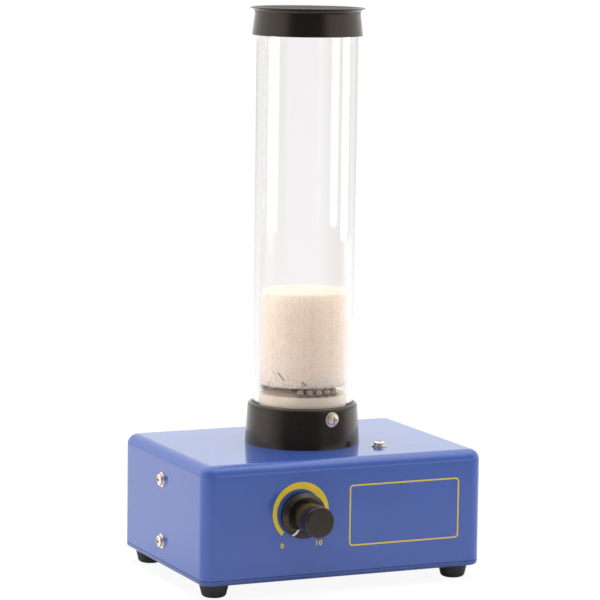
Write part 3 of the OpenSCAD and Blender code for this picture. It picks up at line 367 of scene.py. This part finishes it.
scuffs, takes, gives = group(
    "scuffs", [("Size", "Float", 6.0), ("Amount", "Float", 0.3)], [("Mask", "Float")])
tree, spot = scuffs, spot_on(scuffs)
bent = put(tree, "TexNoise", Vector=spot, Scale=40.0, Detail=1.0).outputs["Color"]
stretched = put(tree, "Mapping", Vector=blend(tree, 0.02, spot, bent), Rotation=(0.4, 0.7, 0.3),
                Scale=(1.0, 14.0, 5.0)).outputs[0]
lines = noise(tree, stretched, in_size(tree, 1.0, takes["Size"]), 4.0, 0.65)
where = noise(tree, spot, in_size(tree, 0.4, takes["Size"]), 1.0)
marks = maths(tree, "MULTIPLY", spread(tree, lines, 0.60, 0.70), spread(tree, where, 0.45, 0.65))
dust = spread(tree, noise(tree, spot, DUST_WAVES, 1.0), 0.72, 0.80)
mask = maths(tree, "MULTIPLY", maths(tree, "ADD", marks, dust), takes["Amount"], clamp=True)
tree.links.new(mask, gives["Mask"])
print("scuffs take", list(takes.keys()))

# %% Drawn lines
drawn_lines, takes, gives = group(
    "drawn_lines", [("Along", "Vector", (1.0, 0.02, 1.0)), ("Size", "Float", 0.3)],
    [("Height", "Float")])
tree, spot = drawn_lines, spot_on(drawn_lines)
pulled = put(tree, "VectorMath", {"operation": "MULTIPLY"}, _0=spot, _1=takes["Along"]).outputs[0]
tree.links.new(noise(tree, pulled, in_size(tree, 1.0, takes["Size"]), 3.0, 0.6), gives["Height"])
print("groups:", [g.name for g in bpy.data.node_groups])

# %% [markdown]
# ## Plain finishes
# Plated screws, moulded black plastic, rubber, brass and the rest differ only in their numbers, so
# one function makes them: a colour that drifts, scuffs that roughen and pale it, and a relief with
# its own grain and depth.

# %% One function for the plain finishes
def principled(name):
    """A new material, its tree and its shader."""
    made = bpy.data.materials.new(name)
    made.use_nodes = True
    return made, made.node_tree, made.node_tree.nodes["Principled BSDF"]


def joined(tree, shader, **results):
    """Joins what the nodes work out to the shader's sockets."""
    for key, result in results.items():
        tree.links.new(result, shader.inputs[key.replace("_", " ")])


def constant(shader, **numbers):
    """Numbers that are the same all over the surface, on the shader's own sockets."""
    for key, number in numbers.items():
        shader.inputs[key.replace("_", " ")].default_value = number


def raised(tree, height, depth, strength=1.0):
    """The normal of a relief whose height is in millimetres of depth."""
    return put(tree, "Bump", Strength=strength, Distance=depth / 1000.0, Height=height).outputs[0]


def finish(name, colour, rough, metal=0.0, drift=0.05, drift_size=12.0, grain=1.0, depth=0.02,
           scuff=0.25, scuff_size=6.0, tint=(1.0, 1.0, 1.0), lines=None, specular=0.5, soak=None):
    """A Principled finish. Depth is the height of the relief in millimetres, and grain its size.
    Soak is for what light goes into: the share that goes in, and how far, in metres."""
    made, tree, shader = principled(name)
    varied = placed(tree, uneven_colour, Color=(*colour, 1.0), Amount=drift, Size=drift_size)["Color"]
    mask = placed(tree, scuffs, Size=scuff_size, Amount=scuff)["Mask"]
    pale = tuple(min(1.0, c * 0.6 + 0.25) for c in colour)
    if lines:
        height = placed(tree, drawn_lines, Along=lines, Size=grain)["Height"]
    else:
        height = placed(tree, fine_relief, Size=grain, Grit=0.4)["Height"]
    joined(tree, shader,
           Base_Color=blend(tree, maths(tree, "MULTIPLY", mask, 0.25), varied, (*pale, 1.0)),
           Roughness=maths(tree, "MULTIPLY_ADD", mask, 0.3, rough, clamp=True),
           Normal=raised(tree, height, depth))
    constant(shader, Metallic=metal, Specular_IOR_Level=specular, Specular_Tint=(*tint, 1.0))
    if soak:
        constant(shader, Subsurface_Weight=soak[0], Subsurface_Radius=(1.0, 0.8, 0.6),
                 Subsurface_Scale=soak[1])
    return made


# %% The plain finishes
# A colour and a roughness for each, then what differs from a moulding's usual numbers.
PLATED = dict(metal=1.0, drift=0.10, drift_size=3.0, grain=0.5, scuff=0.5, scuff_size=1.5)
POLISHED = dict(metal=1.0, drift=0.06, drift_size=2.0, grain=0.4, scuff=0.4, scuff_size=1.5)
INSULATION = dict(grain=0.6, depth=0.015)
PLAIN = {
    "black_rubber": ((0.022, 0.021, 0.020), 0.62, dict(grain=0.6, depth=0.05, scuff=0.5)),
    "plated_screw": ((0.92, 0.80, 0.68), 0.44, dict(PLATED, depth=0.01)),
    "plated_washer": ((0.78, 0.69, 0.57), 0.40, dict(PLATED, depth=0.015)),
    "plated_nut": ((0.62, 0.60, 0.56), 0.32, dict(metal=1.0, drift=0.08, drift_size=3.0, grain=0.5)),
    "black_plastic": ((0.0115, 0.0085, 0.007), 0.20,
                      dict(drift=0.12, grain=0.9, depth=0.010, scuff=0.35, tint=(1.0, 0.84, 0.74),
                           specular=0.55)),
    "bright_steel": ((0.60, 0.59, 0.58), 0.12, dict(POLISHED, depth=0.004)),
    "white_plastic": ((0.86, 0.69, 0.56), 0.38,
                      dict(drift=0.04, grain=0.8, depth=0.010, soak=(0.9, 0.008))),
    # bronze-tinted steel whose colour is darkened as painted shade, for the dark reflections among the
    # balls
    "shaded_ball_steel": ((0.27, 0.21, 0.17), 0.14, dict(POLISHED, depth=0.003)),
    "cast_aluminium": ((0.66, 0.67, 0.68), 0.42, dict(metal=1.0, grain=0.7, depth=0.03)),
    "brass": ((0.78, 0.57, 0.27), 0.24,
              dict(metal=1.0, drift=0.10, drift_size=4.0, grain=0.25, depth=0.006,
                   lines=(0.04, 1.0, 1.0))),
    "dark_steel": ((0.20, 0.20, 0.21), 0.36, dict(metal=1.0, grain=0.5, depth=0.012)),
    "motor_steel": ((0.56, 0.57, 0.58), 0.28,
                    dict(metal=1.0, grain=0.3, depth=0.008, lines=(1.0, 0.05, 1.0))),
    "dark_plastic": ((0.022, 0.022, 0.024), 0.40, dict(grain=0.7)),
    "copper_winding": ((0.72, 0.30, 0.14), 0.30,
                       dict(metal=1.0, drift=0.12, drift_size=3.0, grain=0.5, depth=0.10,
                            lines=(0.03, 1.0, 1.0))),
    "green_plastic": ((0.045, 0.17, 0.075), 0.34, dict(grain=0.9, depth=0.012)),
    "white_line": ((0.84, 0.82, 0.76), 0.40, dict(drift=0.04, grain=0.4, depth=0.01)),
    "red_plastic": ((0.48, 0.025, 0.028), 0.22, dict(depth=0.010)),
    "red_insulation": ((0.46, 0.03, 0.03), 0.42, INSULATION),
    "black_insulation": ((0.020, 0.020, 0.022), 0.42, INSULATION),
    "yellow_insulation": ((0.70, 0.48, 0.04), 0.42, INSULATION),
}
finishes = {name: finish(name, colour, rough, **rest) for name, (colour, rough, rest) in PLAIN.items()}
print("plain finishes:", len(finishes))

# %% [markdown]
# ## The blue enamel
# The case is sheet steel with a thick glossy stoved enamel. Its clear upper skin mirrors the white
# walls, most of all where it is seen at a low angle, so the top looks nearly white. Sprayed enamel
# is never quite flat: it has a faint orange peel a millimetre or two across, fine dust under the
# gloss, and a few rubbed places. One smooth layer of gloss over a deep blue is all that it needs.

# %% Enamel
BLUE, BARE_AND_SHADED_BLUE = (0.062, 0.122, 0.430, 1.0), (0.030, 0.055, 0.19, 1.0)
SEAM_SHADE_HEIGHTS = (0.01035, 0.0099)                 # heights, in metres, between which the cover's hem is darkened as painted shade of the seam with the tray
SEAM_SHADE_RAGGED = 0.0016


def enamel():
    """Blue that drifts a little, darker where it is rubbed, and darker in a ragged band along the
    cover's lower hem as painted shade of the seam.
    """
    made, tree, shader = principled("blue_paint")
    varied = placed(tree, uneven_colour, Color=BLUE, Amount=0.04, Size=26.0)["Color"]
    mask = placed(tree, scuffs, Size=9.0, Amount=0.35)["Mask"]
    spot = spot_on(tree)
    z = put(tree, "SeparateXYZ", Vector=spot).outputs[2]
    # painted shade: a ragged dark band at the foot of the cover, where it meets the tray
    ragged = maths(tree, "MULTIPLY_ADD", noise(tree, spot, 420.0, 3.0), SEAM_SHADE_RAGGED, z)
    seam_shade = spread(tree, ragged, *SEAM_SHADE_HEIGHTS, 0.0, 0.5)
    wear_and_seam_shade = maths(tree, "MAXIMUM", maths(tree, "MULTIPLY", mask, 0.12), seam_shade)
    peel = placed(tree, fine_relief, Size=2.2, Grit=0.10)["Height"]
    joined(tree, shader, Base_Color=blend(tree, wear_and_seam_shade, varied, BARE_AND_SHADED_BLUE),
           Roughness=maths(tree, "MULTIPLY_ADD", mask, 0.22, 0.085, clamp=True),
           Normal=raised(tree, peel, 0.012))
    return made


finishes["blue_paint"] = enamel()
print("enamel:", finishes["blue_paint"].name)

# %% [markdown]
# ## The clear acrylic
# An extruded acrylic tube bends what is behind it, and shows its wall as a faint grey strip at
# each side. The shader is full transmission with acrylic's own index, 1.49. Lamps would cast hard
# black shadows through it, because a path tracer can't aim a shadow ray round a bend, so a shadow
# ray passes a clear shader instead.

# %% Acrylic
FACE_ON, EDGE_ON = (0.962, 0.952, 0.954, 1.0), (0.905, 0.890, 0.880, 1.0)
SHADOW_PASSES = (0.96, 0.96, 0.96, 1.0)


def acrylic():
    """Clear plastic that darkens a little where its wall is seen edge on."""
    made, tree, shader = principled("clear_plastic")
    wall = spread(tree, put(tree, "LayerWeight", Blend=0.5).outputs["Facing"], 0.0, 0.24)
    mask = placed(tree, scuffs, Size=14.0, Amount=0.25)["Mask"]
    draw = placed(tree, drawn_lines, Along=(1.0, 1.0, 0.012), Size=3.0)["Height"]
    joined(tree, shader, Base_Color=blend(tree, wall, FACE_ON, EDGE_ON),
           Roughness=maths(tree, "MULTIPLY_ADD", mask, 0.12, 0.015, clamp=True),
           Normal=raised(tree, draw, 0.006))
    constant(shader, Transmission_Weight=1.0, IOR=1.49)
    passing = put(tree, "BsdfTransparent", Color=SHADOW_PASSES).outputs[0]
    both = put(tree, "MixShader", _0=put(tree, "LightPath").outputs["Is Shadow Ray"],
               _1=shader.outputs[0], _2=passing)
    joined(tree, tree.nodes["Material Output"], Surface=both.outputs[0])
    return made


finishes["clear_plastic"] = acrylic()
print("acrylic:", finishes["clear_plastic"].name)

# %% [markdown]
# ## The foam
# The float is cut from bead foam: thousands of small white beads welded together. Its mesh below
# carries an attribute that says how deep each point lies between two beads, and the material
# darkens and roughens those joints. Light goes a little way into foam, which the subsurface weight
# gives.

# %% Foam
BEAD, JOINT, SPECKS_AND_DENT_SHADE = (0.965, 0.825, 0.705, 1.0), (0.62, 0.47, 0.35, 1.0), (0.22, 0.18, 0.13, 1.0)


def foam():
    """Bead foam, darker and rougher by the mesh's joint, and dark by its specks and by painted shade
    in its dents.
    """
    made, tree, shader = principled("white_foam")
    joint, specks_and_dent_shade = [put(tree, "Attribute", {"attribute_name": name}).outputs["Fac"]
                    for name in ("joint", "specks_and_dent_shade")]
    varied = placed(tree, uneven_colour, Color=BEAD, Amount=0.05, Size=3.0)["Color"]
    shaded = blend(tree, maths(tree, "MULTIPLY", joint, 0.45), varied, JOINT)
    pores = placed(tree, fine_relief, Size=0.5, Grit=0.5)["Height"]
    joined(tree, shader, Base_Color=blend(tree, specks_and_dent_shade, shaded, SPECKS_AND_DENT_SHADE),
           Roughness=maths(tree, "MULTIPLY_ADD", joint, 0.2, 0.6, clamp=True),
           Normal=raised(tree, pores, 0.06, 0.8))
    constant(shader, Specular_IOR_Level=0.25, Subsurface_Weight=0.72,
             Subsurface_Radius=(1.0, 0.85, 0.72), Subsurface_Scale=0.020)
    return made


finishes["white_foam"] = foam()
print("foam:", finishes["white_foam"].name)

# %% [markdown]
# ## The printing ink
# The dial and the frame are screen printed in yellow. The ink is thin and a little uneven, so
# the blue shows through where it is thinnest.

# %% Ink
def ink():
    """A plain yellow finish whose colour gives way to the blue below where the ink is thin."""
    made = finish("yellow_ink", (0.86, 0.62, 0.015), 0.38, drift=0.10, drift_size=4.0, grain=0.5,
                  depth=0.006)
    tree = made.node_tree
    shader = tree.nodes["Principled BSDF"]
    before = shader.inputs["Base Color"].links[0].from_socket
    thin = spread(tree, noise(tree, spot_on(tree), 1400.0, 3.0, 0.7), 0.55, 0.80, 0.0, 0.30)
    joined(tree, shader, Base_Color=blend(tree, thin, before, (0.16, 0.17, 0.16, 1.0)))
    return made


yellow_ink = ink()
print("ink:", yellow_ink.name)

# %% [markdown]
# ## Finishes on the imported nodes
# The record says which finish each imported node has. The balls alone get one of their own: a
# bronze-tinted steel, darker than bright steel as painted shade, which stands in for the dark
# reflections of balls that lie close together and mirror mostly each other.

# %% Finishes on the imported nodes
given = {row["node"]: row["material_slot"] for row in frame["record"]["subparts"]}
given["steel_balls"] = "shaded_ball_steel"
for name, chosen in given.items():
    for slot in nodes[name].material_slots:
        slot.material = finishes[chosen]
print("finishes given to", len(given), "nodes")

# %% [markdown]
# ## Surfaces from grids
# Every new piece is a grid of points: rows by columns, worked out as whole arrays. `skin` joins
# each point to its neighbours with four-sided faces. A grid may close on itself along its rows or
# its columns, and a row that ends on an axis gets one middle point, so nothing is left open.

# %% Skin of a grid
SHARP = np.radians(35.0)                # faces that meet at more than this keep a hard edge


def skin(name, grid, body, material, round_rows=False, round_columns=True, ends="none",
         values=None):
    """Faces between row i and i + 1, column j and j + 1, counted so that they point outwards.
    Ends may be none, poles, which fans the first and last row to their middles, or caps, which
    closes the first and last column with one face each. Values are attributes of the points."""
    rows, columns = grid.shape[:2]
    index = np.arange(rows * columns).reshape(rows, columns)
    low = index if round_rows else index[:-1]
    high = np.roll(index, -1, 0) if round_rows else index[1:]
    step = np.roll(np.arange(columns), -1) if round_columns else np.arange(1, columns)
    here = np.arange(len(step))
    faces = np.stack([low[:, here], low[:, step], high[:, step], high[:, here]], -1)
    faces = faces.reshape(-1, 4).tolist()
    points = grid.reshape(-1, 3)
    if ends == "poles":
        first, last = len(points), len(points) + 1
        points = np.vstack([points, grid[0].mean(0), grid[-1].mean(0)])
        faces += np.stack([index[0, step], index[0], np.full(columns, first)], -1).tolist()
        faces += np.stack([index[-1], index[-1, step], np.full(columns, last)], -1).tolist()
    elif ends == "caps":
        faces += [index[:, 0].tolist(), index[::-1, -1].tolist()]
    mesh = bpy.data.meshes.new(name)
    mesh.from_pydata(place(points).tolist(), [], faces)
    for label, numbers in (values or {}).items():
        padded = np.concatenate([numbers.reshape(-1), np.zeros(len(points) - rows * columns)])
        attribute = mesh.attributes.new(label, "FLOAT", "POINT")
        attribute.data.foreach_set("value", padded.astype(np.float32))
    mesh.shade_smooth()
    mesh.set_sharp_from_angle(angle=SHARP)
    mesh.materials.append(material)
    piece = bpy.data.objects.new(name, mesh)
    bpy.context.scene.collection.objects.link(piece)
    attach(piece, body)
    return piece


def turned(profile, around):
    """A profile of radius and height turned round the tube's axis: x is radius times cosine, y is
    radius times sine, and every profile point becomes one ring."""
    profile = np.asarray(profile, float)
    angle = np.arange(around) * 2.0 * np.pi / around
    grid = np.empty((len(profile), around, 3))
    grid[..., 0] = profile[:, :1] * np.cos(angle)
    grid[..., 1] = profile[:, :1] * np.sin(angle)
    grid[..., 2] = profile[:, 1:]
    return grid


def corner(middle_r, middle_z, radius, start, stop, steps=6):
    """Points on a quarter round: its middle plus the radius turned from start to stop."""
    a = np.radians(np.linspace(start, stop, steps + 1))
    return np.stack([middle_r + radius * np.cos(a), middle_z + radius * np.sin(a)], -1)


print("corner of 1 mm:", corner(0, 0, 1, 0, 90, 2).round(2).tolist())

# %% [markdown]
# ## The tube
# Stock acrylic tube, 50 mm outside with a 3 mm wall, saw cut and then lightly broken at its edges.
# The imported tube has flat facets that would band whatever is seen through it, so it is turned
# again with 256 facets and a small chamfer at each edge.

# %% Tube
TUBE_OUTER, TUBE_INNER, TUBE_CHAMFER = 25.0, 22.0, 0.25     # radii, and the broken edge
TUBE_FACETS, TUBE_RINGS = 256, 24


def clear_tube():
    """A closed profile, up the outside and down the inside, turned round the axis."""
    outer, inner, edge = TUBE_OUTER, TUBE_INNER, TUBE_CHAMFER
    low, high = CASE_TOP, TUBE_END
    heights = np.linspace(low + edge, high - edge, TUBE_RINGS)
    outside = np.stack([np.full_like(heights, outer), heights], -1)
    inside = np.stack([np.full_like(heights, inner), heights[::-1]], -1)
    profile = np.vstack([[inner + edge, low], [outer - edge, low], outside, [outer - edge, high],
                         [inner + edge, high], inside])
    return skin("clear_tube", turned(profile, TUBE_FACETS), "base",
                finishes["clear_plastic"], round_rows=True)


tube = clear_tube()
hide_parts("tube")
print("tube faces:", len(tube.data.polygons))

# %% [markdown]
# ## The foam float
# The float is a plug cut from bead foam. Its skin is not smooth: every bead stands a little proud
# of the joints round it. Each point of a fine grid finds its two nearest bead middles, which sit
# one to a cell of a jittered lattice, and sinks by how nearly it is between them.

# %% Beads
HASHES = ([12.9, 78.2, 37.7], [39.3, 11.1, 83.2], [73.1, 52.2, 9.15])   # one for each direction
JOINT_WIDTH = 0.35                      # as a share of a bead


def bead_field(points, size):
    """For every point, how far it is between two beads, 1 at a joint and 0 well inside a bead. The
    bead middles sit one in each cube of a lattice, moved about by a repeatable hash, and the
    result compares the nearest with the second nearest."""
    cell = np.floor(points / size)
    near = np.full(len(points), np.inf)
    second = near.copy()
    for shift in np.stack(np.meshgrid(*[[-1, 0, 1]] * 3), -1).reshape(-1, 3):
        home = cell + shift
        jitter = np.stack([np.modf(np.abs(np.sin(home @ k) * 43758.5))[0] for k in HASHES], -1)
        gap = np.linalg.norm(points / size - home - 0.15 - 0.7 * jitter, axis=1)
        second = np.minimum(second, np.maximum(near, gap))
        near = np.minimum(near, gap)
    return np.clip(1.0 - (second - near) / JOINT_WIDTH, 0.0, 1.0)


print("joint shares:", bead_field(np.array([[0.0, 0.0, 0.0], [0.5, 0.0, 0.0]]), 1.0).round(2))

# %% [markdown]
# The float's foot has dark specks, most of them at its left, and two dents. The dents are sunk, and
# their colour is also darkened as painted shade. A speck is a distance to a repeatable random spot,
# and a dent a distance to a short line.

# %% Specks and dents of the foot
SPECKS = 90                             # in each of two lots
SPECK_SIZES = (0.20, 0.40)
DENTS = [((212.5, 7.4), (220.5, 4.2), 0.55),    # from and to, as angle and height, and its width
         ((245.0, 3.2), (249.5, 2.0), 0.60)]
MARKS_UP_TO = 14.0


def on_side(angle, height, radius):
    """Points on the float's side. Angles are in degrees."""
    a = np.radians(angle)
    return np.stack([radius * np.cos(a), radius * np.sin(a), np.broadcast_to(height, a.shape)], -1)


def specks_and_dents(points, radius, low):
    """Darkening and dent of every point: the darkening is the dark specks plus painted shade in the
    dents. A speck fades from its middle to its size. The dent's distance is to the nearest point of a
    line from a to b, found by projecting on b - a and clamping."""
    random = np.random.default_rng(5)
    angle = np.concatenate([random.normal(205.0, 24.0, SPECKS), random.uniform(165.0, 330.0, SPECKS)])
    height = np.concatenate([random.gamma(1.5, 2.4, SPECKS), random.gamma(1.2, 1.2, SPECKS)])
    size = random.uniform(*SPECK_SIZES, 2 * SPECKS)
    specks_and_dent_shade, dent = np.zeros(len(points)), np.zeros(len(points))
    near = np.flatnonzero(points[:, 2] < low + MARKS_UP_TO)
    gap = np.linalg.norm(points[near, None] - on_side(angle, low + height, radius), axis=-1)
    specks_and_dent_shade[near] = (0.75 * np.clip(1.3 - gap / size, 0.0, 1.0)).max(1)
    for start, end, width in DENTS:
        a, b = [on_side(np.array(t), low + z, radius) for t, z in (start, end)]
        along = np.clip((points[near] - a) @ (b - a) / ((b - a) @ (b - a)), 0.0, 1.0)
        off = np.linalg.norm(points[near] - a - along[:, None] * (b - a), axis=-1)
        dent[near] = np.maximum(dent[near], np.clip(1.2 - off / width, 0.0, 1.0))
    # painted shade: the dents are darkened in colour as well as sunk
    return np.maximum(specks_and_dent_shade, 0.85 * dent), dent


print("specks:", 2 * SPECKS, "dents:", len(DENTS))

# %% Float
BEAD_SIZE = 1.15
BEAD_RELIEF, DENT_DEPTH = 0.12, 0.60


def foam_float():
    """Foot, side and top of the plug as one profile, turned, and then sunk where beads join and
    where it is dented: inwards from the side, and towards the middle from the foot and the top."""
    radius, low, high, edge = 21.3, 94.9, 142.0, 1.0
    side = np.linspace(low + edge, high - edge, 128)[1:-1]
    profile = np.vstack([
        np.stack([np.linspace(0.6, radius - edge, 26)[:-1], np.full(25, low)], -1),
        corner(radius - edge, low + edge, edge, -90, 0),
        np.stack([np.full_like(side, radius), side], -1),
        corner(radius - edge, high - edge, edge, 0, 90),
        np.stack([np.linspace(radius - edge, 0.6, 56)[1:], np.full(55, high)], -1)])
    grid = turned(profile, 360)
    flat = grid.reshape(-1, 3)
    joint = bead_field(flat, BEAD_SIZE)
    axis = np.array([0.0, 0.0, (low + high) / 2])
    inward = axis - flat
    at_end = np.abs(inward[:, 2]) > (high - low) / 2 - edge
    inward[:, 2] = np.where(at_end, inward[:, 2], 0.0)
    inward /= np.linalg.norm(inward, axis=1, keepdims=True) + 1e-9
    specks_and_dent_shade, dent = specks_and_dents(flat, radius, low)
    flat = flat + inward * (BEAD_RELIEF * joint ** 1.5 + DENT_DEPTH * dent)[:, None]
    return skin("foam_float_beads", flat.reshape(grid.shape), "float",
                finishes["white_foam"], ends="poles", values={"joint": joint, "specks_and_dent_shade": specks_and_dent_shade})


float_piece = foam_float()
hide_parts("foam_float")
print("float faces:", len(float_piece.data.polygons))

# %% [markdown]
# ## The printing on the panel
# A crescent round the knob grows thicker from the slow end of the dial to the fast end, a rounded
# frame stands to its right, and the dial's ends carry the numbers 0 and 10. Each is a band between
# two curves on the panel, raised by the thickness of the ink.

# %% Printed bands
INK = 0.05                              # how far the ink stands up


def printed(name, outer, inner, closed):
    """A band between two curves of points (x, z) on the panel. Its section is four points: outer
    edge on the panel, outer edge raised, inner edge raised, inner edge on the panel."""
    curves = [(outer, 0.0), (outer, INK), (inner, INK), (inner, 0.0)]
    grid = np.stack([np.stack([curve[:, 0], np.full(len(curve), PANEL - up), curve[:, 1]], -1)
                     for curve, up in curves])
    return skin(name, grid, "base", yellow_ink, round_rows=True, round_columns=closed,
                ends="none" if closed else "caps")


def ring(middle, across, height, turns=48):
    """An ellipse: its middle plus half its size times the cosine and the sine."""
    a = np.linspace(0, 2 * np.pi, turns, endpoint=False)
    return np.stack([middle[0] + across / 2 * np.cos(a), middle[1] + height / 2 * np.sin(a)], -1)


def rounded(x0, z0, x1, z1, radius, steps=6):
    """A rectangle with round corners, as one loop of points turning to the left."""
    return np.vstack([corner(x1 - radius, z0 + radius, radius, -90, 0, steps),
                      corner(x1 - radius, z1 - radius, radius, 0, 90, steps),
                      corner(x0 + radius, z1 - radius, radius, 90, 180, steps),
                      corner(x0 + radius, z0 + radius, radius, 180, 270, steps)])


print("frame's corner points:", len(rounded(0, 0, 4, 4, 1)))

# %% Crescent, frame and numbers
DIAL = np.array([-24.2, 40.65])         # the knob's middle on the panel
DIAL_ENDS = (228.0, -45.0)              # degrees
OUTER_ARC, INNER_ARC, INNER_SHIFT = 14.8, 11.85, [-0.75, -0.34]    # the shift thins one end
FRAME, FRAME_CORNER, LINE = (1.8, 21.95, 61.5, 52.3), 2.0, 0.7
DIGIT_H, DIGIT_W, STROKE = 2.5, 1.7, 0.5
TEN_HEIGHT = 24.95

turn = np.radians(np.linspace(*DIAL_ENDS, 140))
spoke = np.stack([np.cos(turn), np.sin(turn)], -1)
printed("dial_crescent", DIAL + OUTER_ARC * spoke, DIAL + INNER_SHIFT + INNER_ARC * spoke, False)
x0, z0, x1, z1 = FRAME
printed("panel_frame", rounded(*FRAME, FRAME_CORNER),
        rounded(x0 + LINE, z0 + LINE, x1 - LINE, z1 - LINE, FRAME_CORNER - LINE), True)


def zero(name, x, z):
    """A nought: an ellipse with a smaller one inside it."""
    return printed(name, ring((x, z), DIGIT_W, DIGIT_H),
                   ring((x, z), DIGIT_W - 2 * STROKE, DIGIT_H - 2 * STROKE), True)


zero("dial_zero", -33.8, 24.75)
zero("dial_ten_zero", -13.5, TEN_HEIGHT)
right_side = np.array([[-15.3, TEN_HEIGHT - DIGIT_H / 2], [-15.3, TEN_HEIGHT + DIGIT_H / 2]])
printed("dial_ten_one", right_side, right_side - [STROKE, 0.0], False)
